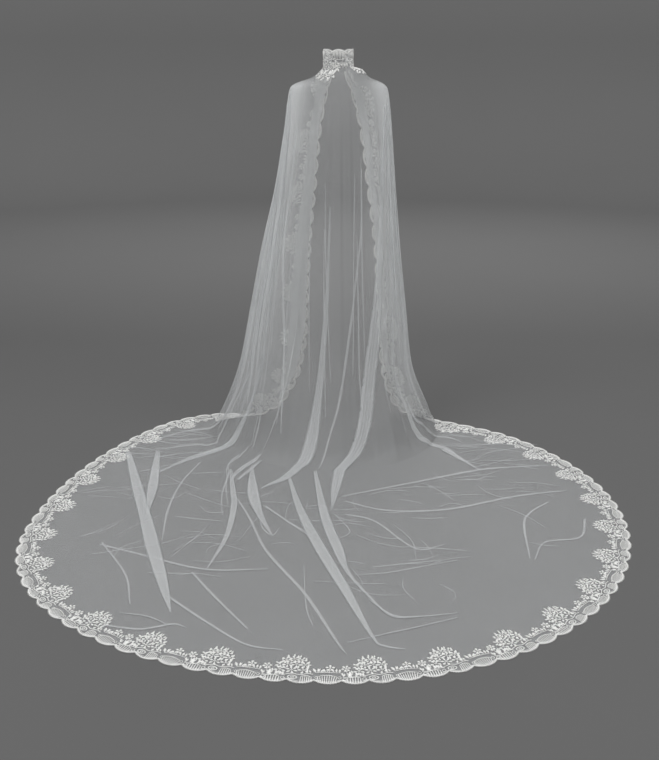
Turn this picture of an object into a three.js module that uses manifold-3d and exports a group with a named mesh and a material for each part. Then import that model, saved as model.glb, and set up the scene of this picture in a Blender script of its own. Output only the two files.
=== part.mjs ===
// A cathedral-length mantilla veil: one sheet of sheer tulle edged all round with lace, in the form
// that it takes when worn. Its top edge stands round the neck, the two fronts hang open, and the
// train lies spread on the floor behind the wearer.
//
// Millimetres, +Z up. The origin is the neck seat, the middle of the neck opening at the foot of
// the collar. The fronts are towards +Y, the train runs out towards -Y.

import * as THREE from "three";
import Module from "manifold-3d";

const wasm = await Module();
wasm.setup();

// Heights and neck
const NECK_HEIGHT = 1500; // from the neck seat down to the floor
const COLLAR_HEIGHT = 60; // the lace that stands above the neck seat
const NECK_WIDTH = 112; // across the neck opening
const COLLAR_OPENING = 28; // between the two ends of the collar, at the throat

// How the sheet hangs
const SHOULDER_WIDTH = 370; // from tip to tip
const SHOULDER_BACK = 85; // how far behind the neck the sheet leaves the shoulders
const CHEST_DEPTH = 150; // how far in front of the neck the open fronts hang
const FLARE_LEFT = 369; // how far each side swings out between shoulder and floor
const FLARE_RIGHT = 255;
const BACK_SWEEP = 300; // how far the back swings out between shoulder and floor
const FRONT_SWEEP = 55; // how far the fronts swing forwards between chest and floor
const SIDE_FORWARD = 60; // how far the widest line moves forwards on its way down
const OPEN_LEFT = 129; // where the left front edge hangs, from the middle
const OPEN_RIGHT = 178;
const WAVE_DEPTH = 11; // height of the soft waves in the hanging sheet
const WAVE_COUNT = 9; // waves from one front edge round to the other
const WAVE_DRIFT = 0.5; // how far a wave wanders sideways, in radians of the wave
const DRIFT_AROUND = 7; // how fast it wanders, going round the sheet and going down it
const DRIFT_DOWN = 0.35;

// The train
const TRAIN_LEFT = 1089; // from the middle to the left edge
const TRAIN_RIGHT = 1016;
const TRAIN_REACH = 1672; // from the neck to the end of the train
const TRAIN_MIDDLE_LEFT = 860; // from the neck back to where each side of the train is widest
const TRAIN_MIDDLE_RIGHT = 700;
const TRAIN_FRONT_LEFT = 470; // how far in front of the neck the outline would close
const TRAIN_FRONT_RIGHT = 250;

// Walls, folds and clearance
const TULLE_WALL = 1.2;
const LACE_WALL = 1.5;
const FOLD_HEIGHT = 3.2; // how proud a flat fold of three layers stands
const FOLD_WIDTH = 46; // the widest fold on the train
const FOLD_SINK = 0.3; // how deep a flat fold is set into the sheet, so that the two join
const PLEAT_WIDTH = 60; // the widest hanging pleat
const SEAM_GAP = 1.3; // between lace and tulle
const JOIN_GAP = 0.5; // between two lengths of edging

// Lace edging
const REPEAT = 222; // one flower cluster to the next
const LACE_HEIGHT = 125; // from the outer line to the top of a cluster
const SCALLOP_DEPTH = 13;
const CORD_BAND = 20; // solid band along the scallops
const WINDOW_BAND = 25; // band above it that is pierced
const NARROW_END = 0.42; // size of the edging where it starts at the collar, as a share of its full size
const WIDEN_OVER = 330; // length over which it widens from there

// Working steps
const SIDE = 0.6; // where the widest line runs, as a share of the way from mid-back to a front edge
const AROUND_STEP = 0.004; // steps round and down the sheet over which its slant is measured
const ROW_STEP = 0.04;
const PLEAT_STEP = 0.01; // step round the sheet over which a pleat's place is measured
const EDGE_PLACES = 400; // places along a front edge, and along half of the hem
const COLLAR_PLACES = 100;
const STRIP_PLACES = 600; // places along the line on which an edging is laid
const INSET_STEPS = 10; // lines in from that line, over the height of the lace
const SMOOTH_PASSES = 6; // how often each of them is evened out
const SMOOTH_SHARE = 0.5;
const FOLD_STEPS = 10; // cross-sections along a flat fold
const CUT_BEYOND = 24; // how far past the hem, and how far off the sheet, the lace's place is cut
const CUT_DEPTH = 4;
const MITRE_LIMIT = 0.4; // a corner of that cut is never sharper than this share of a square one
const FACET_DEPTH = 0.3; // facets whose edges stand less proud than this are joined
const ALMOST_ONE = 1 - 1e-9;
const QUARTER = Math.PI / 2;

// The neck and shoulders: depth below the neck seat as a share of NECK_HEIGHT, then how far each
// side, the back and the front have spread from the neck's size to the shoulders' size
const NECK_ROWS = [
  { drop: 0.0, left: 0.0, right: 0.0, back: 0.0, front: 0.0, open: 0.0 },
  { drop: 0.009, left: 0.06, right: 0.26, back: 0.15, front: 0.02, open: 0.02 },
  { drop: 0.026, left: 0.3, right: 0.47, back: 0.6, front: 0.06, open: 0.07 },
  { drop: 0.051, left: 0.97, right: 1.0, back: 1.0, front: 0.18, open: 0.16 },
];

// The hanging sheet: depth as a share of NECK_HEIGHT, then shares of the flares, the back sweep,
// the front sweep, the chest depth and the openings reached there
const HANG_ROWS = [
  { drop: 0.156, left: 0.06, right: 0.09, back: 0.1, sweep: 0.0, chest: 0.72, open: 0.42, forward: 0.04 },
  { drop: 0.309, left: 0.17, right: 0.165, back: 0.12, sweep: 0.0, chest: 0.9, open: 0.62, forward: 0.08 },
  { drop: 0.469, left: 0.325, right: 0.25, back: 0.16, sweep: 0.05, chest: 1.0, open: 0.82, forward: 0.15 },
  { drop: 0.64, left: 0.47, right: 0.37, back: 0.22, sweep: 0.15, chest: 1.0, open: 0.94, forward: 0.3 },
  { drop: 0.8, left: 0.61, right: 0.49, back: 0.34, sweep: 0.3, chest: 1.0, open: 1.0, forward: 0.52 },
  { drop: 0.913, left: 0.78, right: 0.74, back: 0.56, sweep: 0.55, chest: 1.0, open: 1.0, forward: 0.75 },
  { drop: 0.98, left: 0.92, right: 0.92, back: 0.8, sweep: 0.85, chest: 1.0, open: 1.0, forward: 0.93 },
];

// The train: which part of the hem each part of the foot leads to. Share of the way round to a
// front edge, and quarter turns round the train's outline from its end.
const TRAIN_TURNS = [
  { side: 0.0, turn: 0.0 },
  { side: 0.1, turn: 0.25 },
  { side: 0.2, turn: 0.47 },
  { side: 0.3, turn: 0.75 },
  { side: 0.4, turn: 1.03 },
  { side: 0.5, turn: 1.3 },
  { side: 0.6, turn: 1.49 },
  { side: 0.7, turn: 1.6 },
  { side: 0.8, turn: 1.7 },
  { side: 1.0, turn: 1.9 },
];

// Where the hem runs: share of the way round to a front edge, and the row that the hem has reached.
// Past the foot it climbs in a rounded corner up to the open front.
const HEM_ROWS = [
  { side: 0.0, row: 15 },
  { side: 0.6, row: 15 },
  { side: 0.66, row: 14.6 },
  { side: 0.72, row: 13.9 },
  { side: 0.78, row: 13.1 },
  { side: 0.83, row: 12.4 },
  { side: 0.87, row: 11.9 },
  { side: 0.905, row: 11.1 },
  { side: 0.94, row: 10.2 },
  { side: 0.975, row: 9.4 },
  { side: 1.0, row: 8.6 },
];
const COLLAR_FOOT_ROW = 1;
const BORDER_START_ROW = 2.4; // where the border of the fronts begins, just below the collar
const FOOT_ROW = COLLAR_FOOT_ROW + NECK_ROWS.length + HANG_ROWS.length;
const HEM_ROW = FOOT_ROW + 3; // rows past the foot lie on the floor, out to the train's outline

// How strongly the soft waves show: none on the shoulders, most at the knees, none on the floor
const WAVE_ROWS = [
  { row: 0, strength: 0.0 },
  { row: 4, strength: 0.0 },
  { row: 7, strength: 0.7 },
  { row: 9.5, strength: 1.0 },
  { row: 11.3, strength: 0.6 },
  { row: FOOT_ROW, strength: 0.0 },
  { row: HEM_ROW, strength: 0.0 },
];

// Hanging pleats, from the left front round to the right: the rows where each starts and ends,
// where it lies round the sheet at its start, middle and end, and its width there as shares of
// PLEAT_WIDTH. gap is how many grid columns fill the sheet between it and the pleat before.
const PLEATS = [
  { from: 4.6, to: 11.6, start: -0.38, middle: -0.42, end: -0.36, thin: 0.2, wide: 0.35, tip: 0.3, gap: 9 },
  { from: 6.2, to: 12.5, start: -0.045, middle: -0.05, end: -0.19, thin: 0.1, wide: 1.0, tip: 0.3, gap: 5 },
  { from: 5.4, to: 12.0, start: 0.16, middle: 0.08, end: -0.05, thin: 0.12, wide: 0.2, tip: 0.15, gap: 3 },
  { from: 5.2, to: 12.4, start: 0.3, middle: 0.2, end: 0.03, thin: 0.35, wide: 1.1, tip: 0.3, gap: 2 },
  { from: 4.6, to: 11.6, start: 0.37, middle: 0.39, end: 0.41, thin: 0.2, wide: 0.35, tip: 0.4, gap: 4 },
];
const PLEAT_FADE = 0.12; // share of a pleat's length over which it rises at each end
const PLEAT_WIDEST = 0.75; // share of its length at which it is widest
const COLUMNS_AFTER = 9; // grid columns between the last pleat and the right front edge

// Flat folds on the train: start, two points on the way and end, as shares of TRAIN_LEFT across
// and of TRAIN_REACH back, and the width at the two middle points as shares of FOLD_WIDTH
const TRAIN_FOLDS = [
  {
    name: "far_left", wide: [0.6, 1.1],
    path: [[-0.8, 0.13], [-0.67, 0.42], [-0.57, 0.65], [-0.47, 0.81]],
  },
  {
    name: "far_left_cross", wide: [0.7, 0.5],
    path: [[-0.69, 0.13], [-0.665, 0.25], [-0.645, 0.36], [-0.63, 0.46]],
  },
  {
    name: "left", wide: [0.5, 0.5],
    path: [[-0.38, 0.23], [-0.35, 0.38], [-0.36, 0.54], [-0.4, 0.67]],
  },
  {
    name: "left_patch", wide: [0.9, 0.3],
    path: [[-0.33, 0.22], [-0.3, 0.34], [-0.26, 0.44], [-0.21, 0.54]],
  },
  {
    name: "long_thin", wide: [0.25, 0.25],
    path: [[-0.3, 0.47], [-0.19, 0.66], [-0.08, 0.81], [0.0, 0.9]],
  },
  {
    name: "middle", wide: [0.7, 0.95],
    path: [[-0.17, 0.27], [-0.12, 0.45], [-0.04, 0.66], [0.08, 0.89]],
  },
  {
    name: "middle_right", wide: [0.6, 0.8],
    path: [[-0.07, 0.245], [-0.04, 0.4], [-0.01, 0.56], [0.03, 0.68]],
  },
  {
    name: "right_root", wide: [0.6, 0.45],
    path: [[0.36, 0.11], [0.41, 0.15], [0.46, 0.19], [0.52, 0.24]],
  },
  {
    name: "right_upper", wide: [0.3, 0.3],
    path: [[0.02, 0.36], [0.26, 0.3], [0.46, 0.24], [0.63, 0.21]],
  },
  {
    name: "right_lower", wide: [0.2, 0.25],
    path: [[0.04, 0.39], [0.3, 0.43], [0.55, 0.38], [0.79, 0.33]],
  },
];

// One repeat of the edging: where each station is along REPEAT, how deep the scallop's edge is cut
// in there as a share of SCALLOP_DEPTH, how high the inner edge rises as a share of LACE_HEIGHT,
// and whether the stretch that follows is pierced
const MOTIF = [
  { at: 0.0, notch: 1.0, rise: 0.42, pierced: false },
  { at: 1 / 6, notch: 0.0, rise: 0.52, pierced: true },
  { at: 1 / 3, notch: 1.0, rise: 0.84, pierced: false },
  { at: 0.5, notch: 0.0, rise: 1.0, pierced: false },
  { at: 2 / 3, notch: 1.0, rise: 0.84, pierced: true },
  { at: 5 / 6, notch: 0.0, rise: 0.52, pierced: false },
];
const FRONT_SHARE = 0.19; // the share of the whole border that each open front takes
const SEAM_LEFT = 105; // how far left of the border's own middle the two lengths of the train meet

// The collar's five scallops: a fan at the back of the neck, and a cluster on each shoulder
const COLLAR_MOTIF = [
  { at: 0.0, notch: 1.0, rise: 0.54, pierced: false },
  { at: 0.1, notch: 0.0, rise: 0.54, pierced: true },
  { at: 0.2, notch: 1.0, rise: 0.84, pierced: false },
  { at: 0.3, notch: 0.0, rise: 1.0, pierced: false },
  { at: 0.4, notch: 1.0, rise: 0.8, pierced: true },
  { at: 0.5, notch: 0.0, rise: 0.54, pierced: true },
  { at: 0.6, notch: 1.0, rise: 0.8, pierced: false },
  { at: 0.7, notch: 0.0, rise: 1.0, pierced: false },
  { at: 0.8, notch: 1.0, rise: 0.84, pierced: true },
  { at: 0.9, notch: 0.0, rise: 0.54, pierced: false },
];

const FLOOR = -NECK_HEIGHT;
const MIDDLE_FLOOR = FLOOR + TULLE_WALL / 2;

function mix(a, b, share) {
  return a + (b - a) * share;
}

// Every ring of the sheet in millimetres: how high it is, how far it reaches on each side, to the
// back and to the front, where its widest line is and where its two front edges are
function makeRings() {
  const neck = NECK_WIDTH / 2;
  const throat = COLLAR_OPENING / 2;
  const collar = {
    height: COLLAR_HEIGHT, left: neck, right: neck, back: neck,
    frontLeft: neck, frontRight: neck, side: 0, openLeft: throat, openRight: throat,
  };
  const rings = [collar];
  for (const row of NECK_ROWS) {
    rings.push({
      height: -row.drop * NECK_HEIGHT,
      left: mix(neck, SHOULDER_WIDTH / 2, row.left),
      right: mix(neck, SHOULDER_WIDTH / 2, row.right),
      back: mix(neck, SHOULDER_BACK, row.back),
      frontLeft: mix(neck, CHEST_DEPTH, row.front),
      frontRight: mix(neck, CHEST_DEPTH, row.front),
      side: 0,
      openLeft: mix(throat, OPEN_LEFT, row.open),
      openRight: mix(throat, OPEN_RIGHT, row.open),
    });
  }
  for (const row of HANG_ROWS) {
    const front = mix(neck, CHEST_DEPTH, row.chest) + FRONT_SWEEP * row.sweep;
    rings.push({
      height: -row.drop * NECK_HEIGHT,
      left: SHOULDER_WIDTH / 2 + FLARE_LEFT * row.left,
      right: SHOULDER_WIDTH / 2 + FLARE_RIGHT * row.right,
      back: SHOULDER_BACK + BACK_SWEEP * row.back,
      frontLeft: front,
      frontRight: front,
      side: SIDE_FORWARD * row.forward,
      openLeft: mix(throat, OPEN_LEFT, row.open),
      openRight: mix(throat, OPEN_RIGHT, row.open),
    });
  }
  const foot = {
    height: MIDDLE_FLOOR,
    left: SHOULDER_WIDTH / 2 + FLARE_LEFT,
    right: SHOULDER_WIDTH / 2 + FLARE_RIGHT,
    back: SHOULDER_BACK + BACK_SWEEP,
    frontLeft: CHEST_DEPTH + FRONT_SWEEP,
    frontRight: CHEST_DEPTH + FRONT_SWEEP,
    side: SIDE_FORWARD,
    openLeft: OPEN_LEFT,
    openRight: OPEN_RIGHT,
  };
  rings.push(foot);
  return rings;
}

// A smooth curve through values at rising places that never swings past them, with the slopes
// of a monotone cubic
function smoothCurve(places, values) {
  const last = places.length - 1;
  const steps = [];
  for (let i = 0; i < last; i += 1) {
    steps.push((values[i + 1] - values[i]) / (places[i + 1] - places[i]));
  }
  const slopes = [steps[0]];
  for (let i = 1; i < last; i += 1) {
    const product = steps[i - 1] * steps[i];
    slopes.push(product > 0 ? (2 * product) / (steps[i - 1] + steps[i]) : 0);
  }
  slopes.push(steps[last - 1]);
  return (place) => {
    let i = 0;
    while (i < last - 1 && place > places[i + 1]) {
      i += 1;
    }
    const width = places[i + 1] - places[i];
    const t = THREE.MathUtils.clamp((place - places[i]) / width, 0, 1);
    const rest = 1 - t;
    return (
      values[i] * (1 + 2 * t) * rest * rest +
      values[i + 1] * t * t * (3 - 2 * t) +
      width * (slopes[i] * t * rest * rest - slopes[i + 1] * t * t * rest)
    );
  };
}

const rings = makeRings();
const ringPlaces = rings.map((ring, i) => i);
const ringCurves = {};
for (const key of Object.keys(rings[0])) {
  ringCurves[key] = smoothCurve(ringPlaces, rings.map((ring) => ring[key]));
}
const trainTurn = smoothCurve(TRAIN_TURNS.map((r) => r.side), TRAIN_TURNS.map((r) => r.turn));
const hemRow = smoothCurve(HEM_ROWS.map((r) => r.side), HEM_ROWS.map((r) => r.row));
const waveStrength = smoothCurve(WAVE_ROWS.map((r) => r.row), WAVE_ROWS.map((r) => r.strength));

// A point on the train's outline, two quarter ellipses a side
function outlinePoint(around) {
  const left = around < 0;
  const width = left ? TRAIN_LEFT : TRAIN_RIGHT;
  const front = left ? TRAIN_FRONT_LEFT : TRAIN_FRONT_RIGHT;
  const middle = left ? TRAIN_MIDDLE_LEFT : TRAIN_MIDDLE_RIGHT;
  const turn = trainTurn(Math.abs(around));
  const angle = (turn <= 1 ? turn : turn - 1) * QUARTER;
  const x = width * (turn <= 1 ? Math.sin(angle) : Math.cos(angle));
  const behind = (TRAIN_REACH - middle) * Math.cos(angle);
  const before = (front + middle) * Math.sin(angle);
  const y = turn <= 1 ? -middle - behind : -middle + before;
  return new THREE.Vector3(left ? -x : x, y, MIDDLE_FLOOR);
}

// A point on a ring of the hanging sheet. around runs from -1, the left front edge, by 0, the
// middle of the back, to 1, the right front edge. Each ring is two quarter ellipses a side that
// meet at its widest line.
function ringPoint(around, row) {
  const left = around < 0;
  const width = ringCurves[left ? "left" : "right"](row);
  const side = ringCurves.side(row);
  const share = Math.abs(around);
  const sign = left ? -1 : 1;
  const height = ringCurves.height(row);
  if (share <= SIDE) {
    const turn = (share / SIDE) * QUARTER;
    const y = side - (side + ringCurves.back(row)) * Math.cos(turn);
    return new THREE.Vector3(sign * width * Math.sin(turn), y, height);
  }
  const turn = ((share - SIDE) / (1 - SIDE)) * QUARTER;
  const open = ringCurves[left ? "openLeft" : "openRight"](row);
  const front = ringCurves[left ? "frontLeft" : "frontRight"](row);
  const y = side + (front - side) * Math.sin(turn);
  return new THREE.Vector3(sign * (open + (width - open) * Math.cos(turn)), y, height);
}

// The sheet without its waves. Past the foot it lies flat, out to the train's outline.
function plainPoint(around, row) {
  const foot = ringPoint(around, Math.min(row, FOOT_ROW));
  if (row <= FOOT_ROW) {
    return foot;
  }
  return foot.lerp(outlinePoint(around), (row - FOOT_ROW) / (HEM_ROW - FOOT_ROW));
}

// The direction straight out of a surface at a place on it
function outward(surface, around, row) {
  const low = Math.max(row - ROW_STEP, 0);
  const high = Math.min(row + ROW_STEP, HEM_ROW);
  const across = surface(around + AROUND_STEP, row).sub(surface(around - AROUND_STEP, row));
  const down = surface(around, high).sub(surface(around, low));
  return down.cross(across).normalize();
}

// The sheet as it hangs, waves and all
function sheetPoint(around, row) {
  const point = plainPoint(around, row);
  const strength = waveStrength(row);
  if (strength === 0) {
    return point;
  }
  const drift = WAVE_DRIFT * Math.sin(around * DRIFT_AROUND + row * DRIFT_DOWN);
  const wave = Math.cos(around * WAVE_COUNT * Math.PI + drift);
  point.addScaledVector(outward(plainPoint, around, row), WAVE_DEPTH * strength * wave);
  point.z = Math.max(point.z, MIDDLE_FLOOR);
  return point;
}

function sheetNormal(around, row) {
  if (row >= FOOT_ROW) {
    return new THREE.Vector3(0, 0, 1);
  }
  return outward(sheetPoint, around, row);
}

// A closed wall between two grids of points, outer and inner, that are indexed [line][place].
// kept says which cells are filled, so a cell that isn't becomes a hole with walls of its own.
function wallSolid(outer, inner, kept) {
  const lines = outer.length;
  const places = outer[0].length;
  const vertices = new Float32Array(lines * places * 6);
  const offset = lines * places;
  for (let i = 0; i < lines; i += 1) {
    for (let j = 0; j < places; j += 1) {
      const index = i * places + j;
      outer[i][j].toArray(vertices, index * 3);
      inner[i][j].toArray(vertices, (offset + index) * 3);
    }
  }
  const triangles = [];
  const isKept = (i, j) => i >= 0 && j >= 0 && i < lines - 1 && j < places - 1 && kept(i, j);
  const side = (a, b) => triangles.push(a, b, offset + a, b, offset + b, offset + a);
  for (let i = 0; i < lines - 1; i += 1) {
    for (let j = 0; j < places - 1; j += 1) {
      if (!isKept(i, j)) {
        continue;
      }
      const a = i * places + j;
      const b = a + 1;
      const c = a + places + 1;
      const d = a + places;
      triangles.push(a, c, b, a, d, c);
      triangles.push(offset + a, offset + b, offset + c, offset + a, offset + c, offset + d);
      if (!isKept(i - 1, j)) {
        side(a, b);
      }
      if (!isKept(i, j + 1)) {
        side(b, c);
      }
      if (!isKept(i + 1, j)) {
        side(c, d);
      }
      if (!isKept(i, j - 1)) {
        side(d, a);
      }
    }
  }
  return solidOf(vertices, new Uint32Array(triangles));
}

function solidOf(vertices, triangles) {
  const used = [...new Set(triangles)].sort((a, b) => a - b);
  const renumber = new Map(used.map((old, i) => [old, i]));
  const points = new Float32Array(used.length * 3);
  used.forEach((old, i) => points.set(vertices.subarray(old * 3, old * 3 + 3), i * 3));
  const faces = triangles.map((index) => renumber.get(index));
  return new wasm.Manifold(new wasm.Mesh({ numProp: 3, vertProperties: points, triVerts: faces }));
}

// Tulle: the rows of the sheet's grid, closer where it bends at the shoulders and at the foot
const SHEET_ROWS = [1, 2, 3, 3.6, 4, 4.6, 5.5, 6.5, 7.6, 8.8, 9.7, 10.5, 11.1, 11.6, 12, 13.5, 15];

// The columns of the grid on a row: where each lies round the sheet and how far its outer face is
// lifted. A pleat takes four, at its foot and top on either side, and the rest is filled evenly.
function sheetColumns(row) {
  const columns = [{ around: -1, lift: 0 }];
  const fill = (to, count) => {
    const from = columns[columns.length - 1].around;
    for (let i = 1; i <= count; i += 1) {
      columns.push({ around: mix(from, to, i / (count + 1)), lift: 0 });
    }
  };
  for (const pleat of PLEATS) {
    const t = THREE.MathUtils.clamp((row - pleat.from) / (pleat.to - pleat.from), 0, 1);
    const middle = smoothCurve([0, 0.5, 1], [pleat.start, pleat.middle, pleat.end])(t);
    const width = PLEAT_WIDTH * smoothCurve([0, PLEAT_WIDEST, 1], [pleat.thin, pleat.wide, pleat.tip])(t);
    const before = plainPoint(middle - PLEAT_STEP, row);
    const after = plainPoint(middle + PLEAT_STEP, row);
    const lengthAround = before.distanceTo(after) / (2 * PLEAT_STEP);
    const top = width / 2 / lengthAround;
    const foot = top + FOLD_HEIGHT / lengthAround;
    const lift = FOLD_HEIGHT * Math.min(1, t / PLEAT_FADE, (1 - t) / PLEAT_FADE);
    fill(middle - foot, pleat.gap);
    columns.push({ around: middle - foot, lift: 0 }, { around: middle - top, lift });
    columns.push({ around: middle + top, lift }, { around: middle + foot, lift: 0 });
  }
  fill(1, COLUMNS_AFTER);
  columns.push({ around: 1, lift: 0 });
  return columns;
}

function tulleSheet() {
  const outer = [];
  const inner = [];
  for (const level of SHEET_ROWS) {
    const outerLine = [];
    const innerLine = [];
    for (const { around, lift } of sheetColumns(level)) {
      const row = (level / HEM_ROW) * hemRow(Math.abs(around));
      const point = sheetPoint(around, row);
      const normal = sheetNormal(around, row);
      outerLine.push(point.clone().addScaledVector(normal, TULLE_WALL / 2 + lift));
      innerLine.push(point.clone().addScaledVector(normal, -TULLE_WALL / 2));
    }
    outer.push(outerLine);
    inner.push(innerLine);
  }
  return wallSolid(outer, inner, () => true);
}

// A flat fold: a band that follows a path on the sheet, from a little inside it to FOLD_HEIGHT
// proud of it. place(t) gives the point and the two directions there, width(t) the band's width.
function foldBand(place, width, steps) {
  const outer = [];
  const inner = [];
  for (let i = 0; i <= steps; i += 1) {
    const t = i / steps;
    const { point, normal, across, depth } = place(t);
    const half = Math.max(width(t), FOLD_HEIGHT) / 2;
    const left = point.clone().addScaledVector(across, -half);
    const right = point.clone().addScaledVector(across, half);
    outer.push([right, left].map((p) => p.clone().addScaledVector(normal, FOLD_HEIGHT)));
    inner.push([right, left].map((p) => p.clone().addScaledVector(normal, -depth)));
  }
  return wallSolid(outer, inner, () => true);
}

function trainFold(fold) {
  const onFloor = ([across, back]) =>
    new THREE.Vector3(across * TRAIN_LEFT, -back * TRAIN_REACH, MIDDLE_FLOOR);
  const curve = new THREE.CatmullRomCurve3(fold.path.map(onFloor));
  const widthAt = smoothCurve([0, 1 / 3, 2 / 3, 1], [0, fold.wide[0], fold.wide[1], 0]);
  const normal = new THREE.Vector3(0, 0, 1);
  const place = (t) => ({
    point: curve.getPoint(t),
    normal,
    across: curve.getTangent(t).cross(normal).normalize(),
    depth: FOLD_SINK,
  });
  return foldBand(place, (t) => FOLD_WIDTH * widthAt(t), FOLD_STEPS);
}

// The edging's outer line on the sheet: places {around, row} at equal steps along it
function evenLine(line, count) {
  const points = line.map((p) => sheetPoint(p.around, p.row));
  const lengths = [0];
  for (let i = 1; i < points.length; i += 1) {
    lengths.push(lengths[i - 1] + points[i].distanceTo(points[i - 1]));
  }
  const total = lengths[lengths.length - 1];
  const at = (length) => {
    let i = 1;
    while (i < lengths.length - 1 && lengths[i] < length) {
      i += 1;
    }
    const t = (length - lengths[i - 1]) / (lengths[i] - lengths[i - 1]);
    return {
      around: mix(line[i - 1].around, line[i].around, t),
      row: mix(line[i - 1].row, line[i].row, t),
    };
  };
  return { total, even: Array.from({ length: count + 1 }, (_, i) => at((total * i) / count)) };
}

// Down the right front edge, round the hem and up the left front edge
function borderLine() {
  const line = [];
  for (let i = 0; i <= EDGE_PLACES; i += 1) {
    line.push({ around: 1, row: mix(BORDER_START_ROW, hemRow(1), i / EDGE_PLACES) });
  }
  for (let i = 1; i < 2 * EDGE_PLACES; i += 1) {
    const around = 1 - i / EDGE_PLACES;
    line.push({ around, row: hemRow(Math.abs(around)) });
  }
  for (let i = 0; i <= EDGE_PLACES; i += 1) {
    line.push({ around: -1, row: mix(hemRow(1), BORDER_START_ROW, i / EDGE_PLACES) });
  }
  return line;
}

function collarLine() {
  const place = (_, i) => ({ around: -1 + (2 * i) / COLLAR_PLACES, row: 0 });
  return Array.from({ length: COLLAR_PLACES + 1 }, place);
}

// A line of places, each drawn part of the way towards the middle of its neighbours
function smoothed(line) {
  return line.map((p, i) => {
    if (i === 0 || i === line.length - 1) {
      return p;
    }
    const [before, after] = [line[i - 1], line[i + 1]];
    return {
      around: mix(p.around, (before.around + after.around) / 2, SMOOTH_SHARE),
      row: mix(p.row, (before.row + after.row) / 2, SMOOTH_SHARE),
    };
  });
}

// Moves a line inwards over the sheet again and again by equal steps, which gives lines that keep
// their distance from the edge. The result is indexed [step][place].
function insetLines(outerLine, stepLength, steps) {
  const lines = [outerLine];
  const aroundStep = AROUND_STEP / 2;
  const rowStep = ROW_STEP / 2;
  for (let k = 0; k < steps; k += 1) {
    const points = lines[k].map((p) => sheetPoint(p.around, p.row));
    const moved = lines[k].map((p, i) => {
      const along = points[Math.min(i + 1, points.length - 1)].clone().sub(points[Math.max(i - 1, 0)]);
      const inward = along.cross(sheetNormal(p.around, p.row)).normalize();
      const leftwards = sheetPoint(p.around - aroundStep, p.row);
      const across = sheetPoint(p.around + aroundStep, p.row).sub(leftwards);
      across.divideScalar(2 * aroundStep);
      const high = Math.min(p.row + rowStep, HEM_ROW);
      const low = Math.max(p.row - rowStep, 0);
      const down = sheetPoint(p.around, high).sub(sheetPoint(p.around, low));
      down.divideScalar(high - low);
      const aa = across.dot(across);
      const dd = down.dot(down);
      const ad = across.dot(down);
      const ia = inward.dot(across);
      const id = inward.dot(down);
      const det = aa * dd - ad * ad;
      return {
        around: p.around + ((ia * dd - id * ad) / det) * stepLength,
        row: p.row + ((id * aa - ia * ad) / det) * stepLength,
      };
    });
    let line = moved;
    for (let pass = 0; pass < SMOOTH_PASSES; pass += 1) {
      line = smoothed(line);
    }
    lines.push(line);
  }
  return lines;
}

// A strip of the sheet along an edge: point(length, inset, lift) is the place at a length along
// the edge, at a distance in from it and lifted off the middle of the sheet
function edgeStrip(line) {
  const border = evenLine(line, STRIP_PLACES);
  const stepLength = LACE_HEIGHT / INSET_STEPS;
  const lines = insetLines(border.even, stepLength, INSET_STEPS + 1);
  const place = (length, inset) => {
    const along = THREE.MathUtils.clamp(length / border.total, 0, ALMOST_ONE) * STRIP_PLACES;
    const i = Math.floor(along);
    const deep = THREE.MathUtils.clamp(inset / stepLength, 0, (INSET_STEPS + 1) * ALMOST_ONE);
    const k = Math.floor(deep);
    const near = {
      around: mix(lines[k][i].around, lines[k][i + 1].around, along - i),
      row: mix(lines[k][i].row, lines[k][i + 1].row, along - i),
    };
    const far = {
      around: mix(lines[k + 1][i].around, lines[k + 1][i + 1].around, along - i),
      row: mix(lines[k + 1][i].row, lines[k + 1][i + 1].row, along - i),
    };
    return { around: mix(near.around, far.around, deep - k), row: mix(near.row, far.row, deep - k) };
  };
  const point = (length, inset, lift) => {
    const spot = place(length, Math.max(inset, 0));
    const on = sheetPoint(spot.around, spot.row);
    if (inset < 0) {
      const next = place(length, stepLength);
      on.addScaledVector(on.clone().sub(sheetPoint(next.around, next.row)).normalize(), -inset);
    }
    return on.addScaledVector(sheetNormal(spot.around, spot.row), lift);
  };
  return { total: border.total, point };
}

// The stations of a length of edging: how far along each is, and how far in from the outer line
// the scalloped edge, the cord, the pierced band and the inner edge lie
function stations(length) {
  const list = [];
  const repeat = (length.end - length.start) / length.repeats;
  const add = (n, row) => {
    const along = length.start + (n + row.at) * repeat;
    const size = length.sizeAt(along);
    const windowTop = CORD_BAND + WINDOW_BAND;
    const insets = [row.notch * SCALLOP_DEPTH, CORD_BAND, windowTop, row.rise * LACE_HEIGHT];
    list.push({ along, insets: insets.map((inset) => inset * size), pierced: row.pierced });
  };
  for (let n = 0; n < length.repeats; n += 1) {
    length.motif.forEach((row) => add(n, row));
  }
  add(length.repeats, length.motif[0]);
  return list;
}

// The lace itself: a scalloped, pierced wall along a strip. Its underside is flush with the tulle's.
function laceWall(strip, list) {
  const low = -TULLE_WALL / 2;
  const high = low + LACE_WALL;
  const last = list.length - 1;
  const shift = (i) => (i === 0 ? JOIN_GAP / 2 : i === last ? -JOIN_GAP / 2 : 0);
  const grid = (lift) =>
    [0, 1, 2, 3].map((line) => list.map((s, i) => strip.point(s.along + shift(i), s.insets[line], lift)));
  return wallSolid(grid(high), grid(low), (line, place) => !(line === 1 && list[place].pierced));
}

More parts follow.
